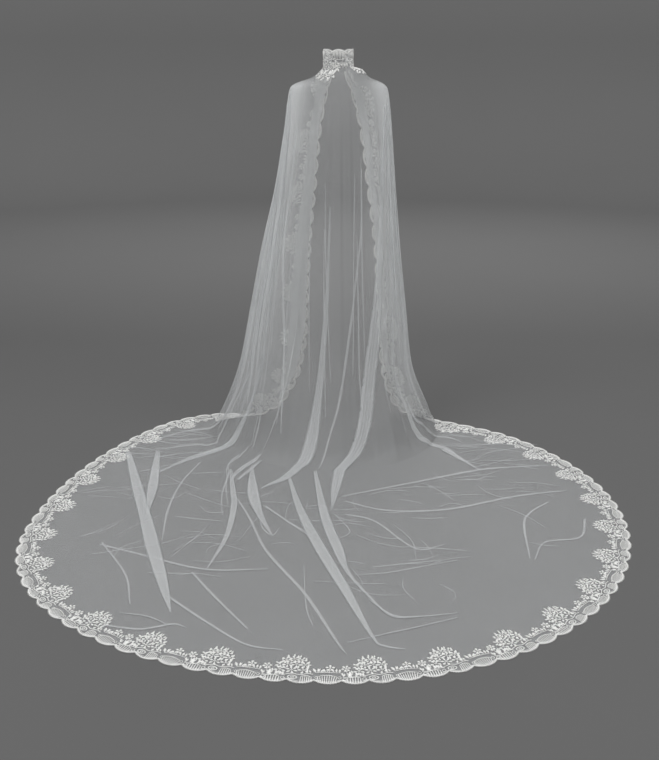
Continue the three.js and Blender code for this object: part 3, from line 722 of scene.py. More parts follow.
@dataclass
class LaceRepeat:
    """One repeat of the edging, drawn flat: millimetres along the edge, in from it and up.

    Everything in it is a rib: a path with a width at each place and a ridge along its middle. Leaves
    and petals are short ribs that swell and taper, cords and stems are long ones. Each of its three
    scallops has a motif of its own, which may reach over its neighbours.
    """

    length: float = 205.0
    scallop_depth: float = 13.0
    scallops: int = 3
    cord_inset: float = 3.6
    cord_width: float = 5.6
    cord_places: int = 17
    inner_cord_gap: float = 5.0
    inner_cord_width: float = 1.6
    picots: int = 19
    arch_places: int = 13
    arch_rise: float = 0.16
    ribs: MeshParts = field(default_factory=MeshParts)

    def rib(self, path: Array, widths: float | Array, ridge: float, thread: Thread, lift: float = 0.4,
            closed: bool = False) -> None:
        """A closed rib with a three-cornered section: two rims either side of the path and a ridge.

        Args:
            path: Places along and in from the edge, in millimetres, one per line.
            widths: The width, or the width at each place.
            ridge: How high the ridge stands above the rims.
            thread: The finish.
            lift: How high the rims are above the cloth.
            closed: Whether the path is a ring.
        """
        path = np.asarray(path, float)
        count = len(path)
        widths = np.broadcast_to(np.asarray(widths, float), (count,))
        if closed:
            along = np.roll(path, -1, axis=0) - np.roll(path, 1, axis=0)
        else:
            along = np.vstack([path[1:], path[-1:]]) - np.vstack([path[:1], path[:-1]])
        along = unit(along)
        across = np.stack([-along[:, 1], along[:, 0]], axis=1)
        half = widths[:, None] / 2
        peak = lift + ridge * np.sqrt(np.clip(widths / widths.max(), 0, 1))
        rims = np.full(count, lift)
        section = np.stack([
            np.column_stack([path + across * half, rims]),
            np.column_stack([path, peak]),
            np.column_stack([path - across * half, rims]),
        ], axis=1)
        steps = np.linalg.norm(np.diff(path, axis=0), axis=1)
        run = np.concatenate([[0], np.cumsum(steps)])
        uv = np.stack([np.repeat(run, 3), (widths[:, None] * [-0.5, 0, 0.5]).ravel()], axis=1)
        points = section.reshape(-1, 3)
        if closed:
            faces = grid_faces(count + 1, 3, wrap=True) % (3 * count)
        else:
            last = 3 * (count - 1)
            caps = np.array([[0, 2, 1], [last, last + 1, last + 2]])
            faces = np.vstack([grid_faces(count, 3, wrap=True), caps])
        self.ribs.add(points * MM, faces_out(points, faces), uv * MM, finish=thread.value)

    def curve(self, foot: Array, angle: float, bend: float, length: float, count: int) -> Array:
        """A path that bends evenly: its direction turns by the same amount at every step.

        Args:
            foot: Where it starts.
            angle: Its direction there, in radians.
            bend: How far it turns on its way.
            length: Its length.
            count: How many places to return.

        Returns:
            The path, one place per line.
        """
        turn = angle + bend * (np.arange(count - 1) + 0.5) / (count - 1)
        steps = np.stack([np.cos(turn), np.sin(turn)], axis=1) * length / (count - 1)
        return np.asarray(foot, float) + np.vstack([[0, 0], np.cumsum(steps, axis=0)])

    def leaf(self, root: Array, angle: float, length: float, width: float, bend: float = 0.0,
             ridge: float = 1.1, blunt: float = 1.0) -> None:
        """A leaf or petal: its midline bends evenly and its width swells as a sine of a power.

        Args:
            root: Where it grows from.
            angle: Its direction at the root, in radians.
            length: Its length.
            width: Its greatest width.
            bend: How far it turns on its way, in radians.
            ridge: The height of its midrib.
            blunt: Above 1 the widest place moves to the tip, as on a petal.
        """
        path = self.curve(root, angle, bend, length, 6)
        swell = np.sin(math.pi * np.clip(np.linspace(0, 1, 6), 0.04, 0.97) ** blunt)
        self.rib(path, width * np.maximum(swell, 0.12), ridge, Thread.PETAL)

    def ring(self, centre: Array, radius: float, width: float, ridge: float = 1.0, sides: int = 9,
             squash: float = 1.0, turn: float = 0.0, lift: float = 0.4) -> None:
        """A ring of cord, round or oval: cosine and sine of evenly spaced angles.

        Args:
            centre: Its middle.
            radius: Its radius along its longer side.
            width: The cord's width.
            ridge: How high the cord's ridge stands.
            sides: How many places it has.
            squash: Its shorter side as a share of the longer one.
            turn: How far it is turned, in radians.
            lift: How high its rims are above the cloth.
        """
        angle = np.arange(sides) * 2 * math.pi / sides
        oval = np.stack([np.cos(angle), squash * np.sin(angle)], axis=1) * radius
        cos, sin = math.cos(turn), math.sin(turn)
        path = np.asarray(centre) + oval @ np.array([[cos, sin], [-sin, cos]])
        self.rib(path, np.full(sides, width), ridge, Thread.CORD, lift, closed=True)

    def blossom(self, flower: Blossom) -> None:
        """A small flower: pointed petals round a raised eye.

        Args:
            flower: Its place and sizes.
        """
        centre = np.array([flower.along, flower.inset])
        radius = flower.radius
        step = 2 * math.pi / flower.petals
        for k in range(flower.petals):
            angle = flower.turn + k * step
            root = centre + 0.26 * radius * np.array([math.cos(angle), math.sin(angle)])
            self.leaf(root, angle, 0.84 * radius, flower.plump * radius, ridge=1.3, blunt=1.3)
        self.ring(centre, 0.17 * radius, 0.17 * radius, ridge=1.8, sides=6, lift=0.8)

    def sprigs(self, rows: list[Sprig]) -> None:
        """Draws lone leaves from a table."""
        for row in rows:
            self.leaf((row.along, row.inset), math.radians(row.angle), row.length, 0.5 * row.length,
                      bend=row.bend)

    def scallop_edge(self, along: Array) -> Array:
        """How far in the outer edge lies: the scallop's depth times a power of the way to a notch.

        Args:
            along: Places along the repeat.

        Returns:
            Distances in, the full depth at a notch and 0 in the middle of a scallop.
        """
        span = self.length / self.scallops
        share = np.abs((np.asarray(along) % span) / span * 2 - 1)
        return self.scallop_depth * share**2.2

    def edge(self, scallop: int) -> None:
        """A scallop's bold cord, the fine one inside it and the fringe of tiny loops outside.

        Args:
            scallop: Its number in the repeat, from 0.
        """
        span = self.length / self.scallops
        low, high = scallop * span, (scallop + 1) * span
        along = np.linspace(low, high, self.cord_places)
        edge = self.scallop_edge(np.clip(along, low + 1e-3, high - 1e-3))
        cord = np.stack([along, edge + self.cord_inset], axis=1)
        self.rib(cord, self.cord_width, 2.2, Thread.CORD, 0.3)
        inner = np.stack([along, edge + self.cord_inset + self.inner_cord_gap], axis=1)[1:-1]
        self.rib(inner, self.inner_cord_width, 1.3, Thread.CORD, 0.3)
        for at in low + (np.arange(self.picots) + 0.5) * span / self.picots:
            inset = float(self.scallop_edge(at))
            self.rib([[at, inset + 1.4], [at + 0.3, inset - 1.9]], [2.2, 1.0], 0.8, Thread.PETAL, 0.4)

    def spokes(self, low: float, high: float, count: int, reach: float, spread: float, width: float) -> None:
        """Bold bars that stand on the cord and spread to an arc.

        Args:
            low: Where along the repeat the first stands.
            high: Where the last stands.
            count: How many there are.
            reach: How far in the arc's ends lie.
            spread: How much wider they are set at the arc.
            width: Their width at the cord.
        """
        foot = np.linspace(low, high, count)
        head = (low + high) / 2 + (foot - (low + high) / 2) * spread
        top = reach + self.arch_rise * (high - low) * np.sin(math.pi * np.linspace(0, 1, count))
        for start, end, far in zip(foot, head, top):
            inset = float(self.scallop_edge(start)) + self.cord_inset + 1.0
            self.rib([[start, inset], [mix(start, end, 0.5), mix(inset, far, 0.5)], [end, far]],
                     [width, 0.9 * width, 0.7 * width], 1.5, Thread.PETAL)
        self.arch(head[0], head[-1], reach, self.arch_rise * (high - low), 2.4, 1.4)

    def arch(self, low: float, high: float, inset: float, rise: float, width: float, ridge: float,
             half_waves: int = 1) -> None:
        """A cord that rises and falls as a sine on its way along the edging.

        Args:
            low: Where along the repeat it starts.
            high: Where it ends.
            inset: How far in its ends lie.
            rise: How much further in its highest place lies.
            width: The cord's width.
            ridge: How high the cord's ridge stands.
            half_waves: How many half waves the sine makes.
        """
        along = np.linspace(low, high, self.arch_places)
        wave = np.sin(half_waves * math.pi * np.linspace(0, 1, self.arch_places))
        self.rib(np.stack([along, inset + rise * wave], axis=1), width, ridge, Thread.CORD)

    def fan(self) -> None:
        """The wide scallop: spokes that spread to a round arch, plain net over them and loops."""
        self.edge(0)
        self.spokes(17, 57, 9, 29, 1.25, 3.3)
        self.arch(3, 66, inset=45, rise=3.0, width=2.2, ridge=1.2)
        for along, inset, size in ((6, 26, 4.2), (63, 26, 4.2), (40, 52, 3.4), (50, 52, 3.4)):
            self.ring((along, inset), size, 2.2, sides=8)
        self.sprout(Blossom(30, 66, 12.0, 5, 0.3, 0.8), foot=(32, 46))
        self.sprigs(FAN_SPRIGS)

    def sprout(self, flower: Blossom, foot: tuple[float, float]) -> None:
        """A short stem with two leaves that carries a small blossom.

        Args:
            flower: The blossom.
            foot: Where along the repeat, and how far in, the stem starts.
        """
        foot = np.asarray(foot, float)
        head = np.array([flower.along, flower.inset])
        middle = mix(foot, head, 0.5) + [1.5, 0]
        stem = through_points(np.array([foot, middle, head]), 5)
        self.rib(stem, np.linspace(2.4, 1.6, 5), 1.1, Thread.CORD)
        self.leaf(middle, 0.5, 9, 4)
        self.leaf(middle, 2.6, 9, 4)
        self.blossom(flower)

    def spray(self) -> None:
        """The leafy scallop: bars at its foot, a star of leaves, sprigs either side and a sprout."""
        self.edge(2)
        self.spokes(158, 190, 6, 24, 1.05, 3.8)
        self.arch(143, 203, inset=29, rise=3.0, width=2.4, ridge=1.2, half_waves=2)
        self.sprigs(SPRAY_SPRIGS)
        for along, inset, size in ((148, 20, 4.8), (198, 20, 4.6)):
            self.ring((along, inset), size, 2.5, sides=9)
        self.sprout(Blossom(194, 64, 12.5, 6, 0.8, 0.7), foot=(189, 40))

    def cluster(self) -> None:
        """The tall cluster of small blossoms on a scroll, and leaves in the gaps between its rows.

        Under the scroll are a bold oval eye and, on one side of it, bars.
        """
        self.edge(1)
        self.spokes(76, 103, 6, 28, 0.95, 3.4)
        self.ring((124, 24), 11.5, 3.8, ridge=1.5, squash=0.62, turn=0.1, sides=14)
        self.ring((124, 24), 4.4, 2.8, squash=0.62, sides=8)
        way = [[170, 46], [158, 39], [146, 33], [134, 37], [122, 39], [110, 35], [97, 37], [84, 41],
               [72, 38]]
        self.rib(through_points(np.array(way), 24), np.linspace(2.8, 3.4, 24), 1.6, Thread.CORD)
        for number, row in enumerate(CLUSTER_ROWS):
            share = np.linspace(0, 1, row.count)
            along = mix(row.low, row.high, share) + 1.5 * np.sin(13 * share + 5 * number)
            inset = row.inset + row.arch * np.sin(math.pi * share) + np.sin(17 * share + number)
            for k in range(row.count):
                petals = 5 + (k + number) % 2
                self.blossom(Blossom(along[k], inset[k], row.radius, petals, 2.4 * k + number, 0.52))
            for k in range(row.count - 1):
                root = (mix(along[k], along[k + 1], 0.5), mix(inset[k], inset[k + 1], 0.5) + 4)
                self.leaf(root, math.radians(90 + 50 * math.sin(5 * k + 3 * number)), 16, 6.5, bend=0.3)
        self.sprigs(CLUSTER_SPRIGS)

    def motifs(self) -> list[MeshParts]:
        """Draws the motif of each scallop.

        Returns:
            Their points, in metres along, in and up from where the repeat starts, and triangles.
        """
        drawn = []
        for draw in (self.fan, self.cluster, self.spray):
            self.ribs = MeshParts()
            draw()
            drawn.append(self.ribs)
        return drawn


@dataclass
class LaceEdging:
    """A length of the lace edging, which names the motif of each of its scallops in order."""

    name: str
    node: str
    strip: EdgeStrip
    start: float
    end: float
    scallops: tuple[int, ...]
    sizes: VeilSizes
    span: float
    tapered: bool = True

    def size_at(self, length: Array) -> Array:
        """The edging's size as a share of its full size: smaller where it starts at the collar.

        Args:
            length: Lengths along the edge.

        Returns:
            The shares.
        """
        if not self.tapered:
            return np.ones_like(length)
        from_end = np.minimum(length, self.strip.total - length)
        return mix(self.sizes.narrow_end, 1.0, smooth_step(from_end, 0, self.sizes.widen_over))

    def build(self, motifs: list[MeshParts], materials: list[bpy.types.Material]) -> bpy.types.Object:
        """Lays a motif on each scallop.

        A place's length is its own share of a scallop, plus the scallops before it, stretched to
        the edging. Its inset and lift shrink with the edging's size there. The strip's length and
        inset make a left hand with its lift, so the triangles are turned round.

        Args:
            motifs: The motifs, drawn flat.
            materials: The finishes of the threads.

        Returns:
            The piece.
        """
        parts = MeshParts()
        for number, motif in enumerate(self.scallops):
            flat, uv = np.vstack(motifs[motif].points), np.vstack(motifs[motif].uv)
            share = (flat[:, 0] / self.span - motif + number) / len(self.scallops)
            length = mix(self.start, self.end, share)
            size = self.size_at(length)
            points = self.strip.points(length, flat[:, 1] * size, flat[:, 2] * np.sqrt(size))
            points[:, 2] = np.maximum(points[:, 2], self.sizes.floor)
            parts.add(points, np.vstack(motifs[motif].faces)[:, ::-1], uv)
            parts.finish[-1] = np.concatenate(motifs[motif].finish)
        piece = parts.piece(self.name, materials)
        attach(piece, "root")
        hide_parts(self.node)
        log.info("%s: %d triangles", self.name, sum(len(chosen) for chosen in parts.faces))
        return piece


class Pleat(NamedTuple):
    """A layered fold of the hanging sheet: places (around, row) on its way and widths there."""

    path: list[tuple[float, float]]
    widths: list[float]


class FloorFold(NamedTuple):
    """A fold or crease on the train: places (x, y) in metres on its way and widths in millimetres."""

    path: list[tuple[float, float]]
    widths: list[float]


PLEATS = [
    Pleat([(-0.045, 6.2), (-0.048, 7.6), (-0.07, 9.3), (-0.084, 10.5), (-0.114, 12.0), (-0.16, 12.5)],
          [4, 12, 36, 58, 46, 6]),
    Pleat([(0.16, 5.6), (0.148, 6.6), (0.09, 7.7), (0.034, 8.8), (-0.026, 10.3), (-0.052, 11.9)],
          [3, 6, 8, 9, 8, 3]),
    Pleat([(0.4, 4.5), (0.336, 5.8), (0.296, 6.6), (0.24, 7.6), (0.18, 8.7), (0.108, 10.1), (0.045, 11.2),
           (0.0, 12.2), (-0.012, 12.76)], [4, 18, 26, 36, 50, 62, 50, 44, 4]),
    Pleat([(-0.35, 8.6), (-0.36, 9.6), (-0.372, 10.5), (-0.38, 11.3), (-0.396, 12.2), (-0.402, 12.7),
           (-0.396, 13.1)], [6, 14, 26, 34, 30, 16, 4]),
    Pleat([(-0.4, 8.8), (-0.44, 9.8), (-0.454, 11.0), (-0.442, 12.1), (-0.464, 12.4), (-0.486, 13.4)],
          [3, 8, 10, 9, 8, 3]),
    Pleat([(-0.5, 9.0), (-0.544, 10.2), (-0.58, 11.2), (-0.57, 12.7), (-0.542, 13.6), (-0.516, 14.0)],
          [5, 14, 20, 18, 12, 4]),
    Pleat([(-0.372, 10.3), (-0.378, 10.8), (-0.402, 12.0), (-0.41, 12.5), (-0.406, 12.9)], [3, 6, 8, 7, 3]),
    Pleat([(-0.316, 11.9), (-0.302, 12.2), (-0.262, 12.4), (-0.22, 12.8), (-0.184, 13.1)], [4, 7, 8, 6, 3]),
    Pleat([(-0.294, 11.0), (-0.302, 12.1), (-0.25, 12.5), (-0.194, 12.9)], [3, 6, 7, 3]),
    Pleat([(-0.236, 11.4), (-0.252, 12.2), (-0.238, 12.5)], [8, 22, 5]),
    Pleat([(-0.288, 9.7), (-0.278, 10.2), (-0.272, 11.2)], [3, 6, 3]),
    Pleat([(-0.332, 4.9), (-0.332, 6.2), (-0.306, 6.9), (-0.242, 8.0), (-0.214, 9.0), (-0.186, 10.3)],
          [4, 12, 14, 9, 7, 3]),
    Pleat([(-0.44, 4.4), (-0.426, 5.5), (-0.404, 6.4), (-0.384, 7.1), (-0.388, 8.0), (-0.38, 8.7),
           (-0.352, 9.6)], [8, 16, 18, 16, 12, 9, 4]),
    Pleat([(-0.5, 4.5), (-0.48, 5.6), (-0.45, 6.4), (-0.414, 7.1), (-0.418, 7.9), (-0.408, 8.7),
           (-0.378, 9.7)], [12, 20, 24, 16, 18, 12, 5]),
    Pleat([(-0.56, 4.5), (-0.59, 5.9), (-0.58, 6.8), (-0.572, 7.7), (-0.55, 9.2)], [10, 24, 26, 22, 6]),
    Pleat([(-0.37, 6.9), (-0.354, 7.7), (-0.352, 8.4), (-0.35, 9.1)], [3, 7, 8, 4]),
    Pleat([(0.424, 4.5), (0.354, 5.4), (0.306, 6.1)], [8, 16, 6]),
    Pleat([(0.474, 4.5), (0.438, 5.6), (0.41, 6.6), (0.374, 7.7), (0.348, 8.7), (0.332, 9.5)],
          [5, 14, 16, 12, 8, 3]),
    Pleat([(0.56, 4.6), (0.57, 6.0), (0.536, 7.3), (0.44, 8.5), (0.418, 9.5)], [6, 20, 24, 14, 5]),
    Pleat([(0.358, 6.8), (0.324, 7.6), (0.26, 8.2)], [4, 9, 4]),
    Pleat([(0.35, 9.0), (0.36, 9.9), (0.37, 10.6), (0.426, 12.1), (0.388, 12.6)], [6, 16, 26, 28, 6]),
    Pleat([(0.38, 9.6), (0.39, 10.2), (0.438, 10.7), (0.506, 12.1), (0.488, 12.6)], [5, 10, 14, 14, 4]),
]
FLOOR_FOLDS = [
    FloorFold([(-0.862, -0.211), (-0.763, -0.528), (-0.688, -0.763), (-0.628, -0.957), (-0.55, -1.199),
               (-0.502, -1.351)], [22, 42, 46, 52, 34, 3]),
    FloorFold([(-0.739, -0.211), (-0.72, -0.38), (-0.701, -0.553), (-0.684, -0.748)], [18, 34, 40, 6]),
    FloorFold([(-0.421, -0.381), (-0.395, -0.569), (-0.38, -0.68), (-0.385, -0.91), (-0.427, -1.118)],
              [10, 22, 26, 18, 3]),
    FloorFold([(-0.342, -0.335), (-0.319, -0.578), (-0.281, -0.748), (-0.229, -0.897)], [4, 46, 26, 3]),
    FloorFold([(-0.31, -0.3), (-0.345, -0.38), (-0.385, -0.469)], [8, 15, 12]),
    FloorFold([(-0.37, -0.634), (-0.313, -0.785), (-0.259, -0.957), (-0.21, -1.064), (-0.107, -1.254),
               (-0.017, -1.479), (0.013, -1.547)], [6, 8, 9, 10, 10, 8, 2]),
    FloorFold([(-0.263, -0.688), (-0.18, -0.8), (-0.099, -0.904)], [7, 7, 4]),
    FloorFold([(-0.194, -0.425), (-0.139, -0.711), (-0.071, -0.957), (0.015, -1.227), (0.09, -1.47),
               (0.122, -1.511), (0.177, -1.525)], [10, 30, 42, 34, 10, 7, 3]),
    FloorFold([(-0.09, -0.395), (-0.049, -0.763), (-0.004, -0.989), (0.026, -1.13), (0.09, -1.27),
               (0.151, -1.368), (0.232, -1.373)], [14, 36, 38, 14, 8, 6, 2]),
    FloorFold([(-0.277, -0.678), (-0.188, -0.789), (-0.117, -0.87)], [4, 6, 3]),
    FloorFold([(-0.284, -0.747), (-0.265, -0.846), (-0.227, -0.894), (-0.209, -0.846)], [3, 5, 5, 2]),
    FloorFold([(-0.014, -0.747), (0.037, -0.87), (-0.007, -0.925)], [4, 5, 2]),
    FloorFold([(0.106, -1.099), (0.218, -1.078), (0.332, -1.057)], [2, 5, 3]),
    FloorFold([(0.046, -1.146), (0.148, -1.133), (0.253, -1.099), (0.384, -1.057)], [2, 5, 5, 3]),
    FloorFold([(0.018, -1.495), (0.13, -1.453), (0.224, -1.42), (0.343, -1.375)], [3, 5, 5, 3]),
    FloorFold([(0.084, -1.28), (0.155, -1.363), (0.236, -1.369), (0.346, -1.352)], [4, 6, 5, 3]),
    FloorFold([(-0.61, -1.133), (-0.54, -1.136), (-0.471, -1.139)], [2, 4, 2]),
    FloorFold([(-0.116, -1.085), (-0.103, -1.316), (-0.08, -1.42)], [2, 4, 2]),
    FloorFold([(-0.651, -1.352), (-0.567, -1.369), (-0.498, -1.414)], [3, 5, 3]),
    FloorFold([(-0.581, -0.764), (-0.5, -0.782), (-0.414, -0.797)], [2, 5, 3]),
    FloorFold([(0.44, -0.19), (0.488, -0.264), (0.56, -0.39)], [26, 22, 5]),
    FloorFold([(0.014, -0.61), (0.291, -0.494), (0.54, -0.39), (0.674, -0.362), (0.8, -0.35)],
              [5, 9, 13, 8, 3]),
    FloorFold([(0.024, -0.649), (0.174, -0.718), (0.391, -0.711), (0.655, -0.61), (0.86, -0.561)],
              [5, 7, 10, 9, 4]),
    FloorFold([(0.023, -0.748), (0.127, -0.799), (0.252, -0.983), (0.355, -0.957)], [5, 7, 7, 3]),
    FloorFold([(0.767, -0.657), (0.69, -0.73), (0.647, -0.821), (0.621, -1.052)], [6, 7, 9, 4]),
    FloorFold([(0.869, -0.785), (0.82, -0.91), (0.693, -0.944), (0.637, -1.052)], [8, 7, 6, 4]),
    FloorFold([(-0.552, -0.316), (-0.6, -0.5), (-0.615, -0.711), (-0.6, -0.924)], [5, 7, 8, 4]),
    FloorFold([(-0.524, -1.265), (-0.395, -1.393), (-0.269, -1.502), (-0.164, -1.529)], [8, 8, 6, 2]),
    FloorFold([(-0.799, -0.944), (-0.68, -1.142), (-0.631, -1.307)], [5, 7, 4]),
    FloorFold([(-0.803, -0.957), (-0.656, -1.021), (-0.437, -1.112), (-0.229, -1.112)], [5, 8, 7, 3]),
    FloorFold([(-0.47, -1.13), (-0.38, -1.27), (-0.267, -1.432)], [7, 8, 5]),
    FloorFold([(-0.687, -1.413), (-0.577, -1.432), (-0.489, -1.408), (-0.449, -1.422)], [5, 7, 6, 2]),
]


class StreakFan(NamedTuple):
    """Fine folds down one side of the veil: the side, how many, and around at the first and last."""

    side: int
    count: int
    near: float
    far: float


STREAK_FANS = [StreakFan(-1, 15, 0.28, 0.62), StreakFan(1, 12, 0.3, 0.62)]


@dataclass
class TulleSheet:
    """The sheer sheet: one layer of net, with its folds as flat loops of cloth on it."""

    drape: Drape
    columns: int = 240
    neck_lines: int = 34
    hang_lines: int = 104
    train_lines: int = 66
    top_row: float = 0.2
    edge_inset: float = 0.012
    edge_step: float = 0.02
    least_speed: float = 0.05
    ripple: float = 0.0035
    floor_ripple: float = 0.0028
    layer_gap: float = 0.0005
    fold_lift: float = 0.0022
    edge_gather: float = 0.6
    ground: float = 0.6
    lined_width: float = 30.0
    crease_width: float = 6.0
    crease_count: int = 110
    back_streaks: int = 9
    line_places: tuple[float, ...] = (-0.3, -0.08, 0.14, 0.34)
    line_part: float = 0.07
    name: str = "tulle_sheet"

    def _levels(self) -> Array:
        """Spaces the grid's lines, close together where the cloth bends.

        Returns:
            Shares of the way from the collar to the hem.
        """
        sizes = self.drape.sizes
        hem = sizes.hem_row
        neck = np.linspace(self.top_row, sizes.shoulder_row, self.neck_lines, endpoint=False)
        hang = np.linspace(sizes.shoulder_row, sizes.foot_row, self.hang_lines, endpoint=False)
        train = np.linspace(sizes.foot_row, hem, self.train_lines)
        levels = np.concatenate([neck, hang, train])
        return (levels - levels[0]) / (hem - levels[0])

    def _places(self) -> tuple[Array, Array]:
        """Draws the sheet in by the edge inset, so that its edge lies under the lace's cord.

        Returns:
            Around and row of every grid point.
        """
        drape, top, row_step = self.drape, self.top_row, 0.05
        around = np.linspace(-1, 1, self.columns)
        hem = drape.hem(np.abs(around))
        line = drape.point(around, hem)
        along = unit(np.gradient(line, axis=0))
        down = (line - drape.point(around, hem - row_step)) / row_step
        square = down - np.sum(down * along, axis=1, keepdims=True) * along
        hem = hem - self.edge_inset / np.maximum(np.linalg.norm(square, axis=1), self.least_speed)
        row = top + (hem - top)[None, :] * self._levels()[:, None]
        reach = np.ones_like(row)
        for sign, chosen in ((-1, around < 0), (1, around >= 0)):
            edge = row[:, 0 if sign < 0 else -1]
            step = drape.point(sign * 1.0, edge) - drape.point(sign * (1 - self.edge_step), edge)
            speed = np.linalg.norm(step, axis=1) / self.edge_step
            limit = 1 - self.edge_inset / np.maximum(speed, self.least_speed)
            reach[:, chosen] = limit[:, None]
        return around[None, :] * reach, row

    def _ripples(self, around: Array, row: Array, points: Array) -> Array:
        """Small soft folds: sines of the place round the sheet while it hangs, and of x and y on
        the floor. They fade out under the lace.

        Args:
            around: Places round the veil.
            row: Rows.
            points: The sheet's points there.

        Returns:
            Heights above the smooth sheet.
        """
        hang = smooth_step(row, 4.0, 6.0) * (1 - smooth_step(row, 10.8, 12.0))
        edge = 1 - smooth_step(np.abs(around), 0.7, 0.82)
        fine = 0.6 * np.sin(around * 95 + 1.4 * np.sin(around * 9 + row * 0.3))
        fine += 0.4 * np.sin(around * 171 + 1.1 * np.sin(around * 13 - row * 0.2))
        floor = smooth_step(row, 12.0, 12.6) * (1 - smooth_step(row, 14.2, 14.7)) * edge
        x, y = points[..., 0], points[..., 1]
        swell = np.sin(11 * x + 3 * np.sin(4 * y)) * np.sin(9 * y + 2 * np.sin(5 * x + 1))
        swell += 0.5 * np.sin(23 * x - 17 * y + 2 * np.sin(6 * x))
        return self.ripple * hang * edge * fine + self.floor_ripple * floor * np.maximum(swell, 0)

    def surface(self, around: Array, row: Array) -> tuple[Array, Array]:
        """Points and outward directions of the sheet with its small folds.

        Args:
            around: Places round the veil.
            row: Rows.

        Returns:
            The points, and directions of length 1.
        """
        around, row = np.broadcast_arrays(np.asarray(around, float), np.asarray(row, float))
        points, out = self.drape.point(around, row), self.drape.normal(around, row)
        points = points + out * self._ripples(around, row, points)[..., None]
        points[..., 2] = np.maximum(points[..., 2], self.drape.sizes.middle_floor)
        return points, out

    def gathered(self, around: Array, row: Array) -> Array:
        """How dense the cloth is: bunched at the shoulders, and a finer net under the front lace.

        Args:
            around: Places round the veil.
            row: Rows.

        Returns:
            Shares from 0 to 1.
        """
        share = np.abs(np.abs(around) - 0.5)
        side = 1 - smooth_step(share, 0.08, 0.34)
        bunched = side * smooth_step(row, 3.2, 4.2) * (1 - smooth_step(row, 4.5, 11.5))
        ground = smooth_step(np.abs(around), 0.9, 0.925) * smooth_step(row, 3.4, 4.4)
        return np.maximum(bunched, self.ground * ground * (1 - smooth_step(row, 10.0, 11.5)))

    def sheet(self, parts: MeshParts) -> None:
        """Adds the sheet itself: a grid over around and row, with distances as its UV map.

        Args:
            parts: The mesh to add to.
        """
        around, row = self._places()
        points, _ = self.surface(around, row)
        lines, places = row.shape
        across = np.linalg.norm(np.diff(points, axis=1), axis=2)
        u = np.concatenate([np.zeros((lines, 1)), np.cumsum(across, axis=1)], axis=1)
        u -= u[:, places // 2:places // 2 + 1]
        down = np.linalg.norm(np.diff(points, axis=0), axis=2)
        v = np.concatenate([np.zeros((1, places)), np.cumsum(down, axis=0)], axis=0)
        uv = np.stack([u, v], axis=-1).reshape(-1, 2)
        faces = grid_faces(lines, places)
        parts.add(points.reshape(-1, 3), faces[:, ::-1], uv, self.gathered(around, row).ravel())

    def loop(self, parts: MeshParts, points: Array, out: Array, widths: Array) -> None:
        """Adds a flat loop of cloth, the two layers that a fold lays on the sheet.

        The upper layer is highest in its middle and meets the lower one along both edges.

        Args:
            parts: The mesh to add to.
            points: Places on the sheet, as [station][across].
            out: The direction out of the sheet at each.
            widths: The width at each station, for the UV map.
        """
        stations, wide = points.shape[:2]
        share = np.linspace(-1, 1, wide)
        crown = np.sqrt(np.clip(1 - np.abs(share) ** 6, 0, 1))
        low = self.layer_gap
        upper = points + out * (low + (self.fold_lift - low) * crown)[None, :, None]
        lower = points[:, -2:0:-1] + out[:, -2:0:-1] * low
        section = np.concatenate([upper, lower], axis=1)
        count = section.shape[1]
        middle = np.linalg.norm(np.diff(points[:, wide // 2], axis=0), axis=1)
        run = np.concatenate([[0], np.cumsum(middle)])
        place = np.concatenate([share, share[-2:0:-1]]) / 2
        uv = np.stack([np.broadcast_to(run[:, None], (stations, count)), widths[:, None] * place], axis=-1)
        edge = np.abs(2 * place) ** 4 * self.edge_gather
        flat = section.reshape(-1, 3)
        start = np.stack([np.zeros(count - 2), np.arange(1, count - 1), np.arange(2, count)], axis=1)
        end = start + (stations - 1) * count
        faces = np.vstack([grid_faces(stations, count, wrap=True), start[:, ::-1], end]).astype(int)
        parts.add(flat, faces_out(flat, faces), uv.reshape(-1, 2), np.tile(edge, stations))

    def pleat(self, parts: MeshParts, pleat: Pleat, wide: int = 7, offset: float = 0.0,
              part: float = 1.0) -> None:
        """Adds a hanging fold: the width is laid off round the sheet on both sides of its path.

        Args:
            parts: The mesh to add to.
            pleat: The fold.
            wide: How many places lie across it.
            offset: Where its middle lies, as a share of the width from the path.
            part: The share of the width that it takes up.
        """
        count = 10 * len(pleat.path)
        path = through_points(pleat.path, count)
        widths = through_points(np.array(pleat.widths)[:, None], count)[:, 0] * MM
        widths = np.maximum(widths, 0.001)
        step = self.edge_step / 2
        ahead = self.drape.plain_point(path[:, 0] + step, path[:, 1])
        behind = self.drape.plain_point(path[:, 0] - step, path[:, 1])
        speed = np.linalg.norm(ahead - behind, axis=1) / self.edge_step
        share = offset + part * np.linspace(-0.5, 0.5, wide)
        around = path[:, :1] + share[None, :] * (widths / speed)[:, None]
        points, out = self.surface(around, np.broadcast_to(path[:, 1:], around.shape))
        self.loop(parts, points + out * self.fold_lift * (part < 1), out, widths * part)

    def floor_fold(self, parts: MeshParts, fold: FloorFold, wide: int = 7) -> None:
        """Adds a fold on the train: the width is laid off square to its path on the floor.

        Args:
            parts: The mesh to add to.
            fold: The fold.
            wide: How many places lie across it.
        """
        count = 9 * len(fold.path)
        path = through_points(fold.path, count)
        widths = np.maximum(through_points(np.array(fold.widths)[:, None], count)[:, 0], 1.0) * MM
        along = unit(np.gradient(path, axis=0))
        across = np.stack([along[:, 1], -along[:, 0]], axis=1)
        share = np.linspace(-0.5, 0.5, wide)
        flat = path[:, None] + across[:, None] * (share[None, :] * widths[:, None])[..., None]
        height = self.drape.sizes.middle_floor + self.floor_ripple * 0.6
        points = np.concatenate([flat, np.full(flat.shape[:2] + (1,), height)], axis=2)
        out = np.broadcast_to(np.array([0.0, 0.0, 1.0]), points.shape)
        self.loop(parts, points, out, widths)

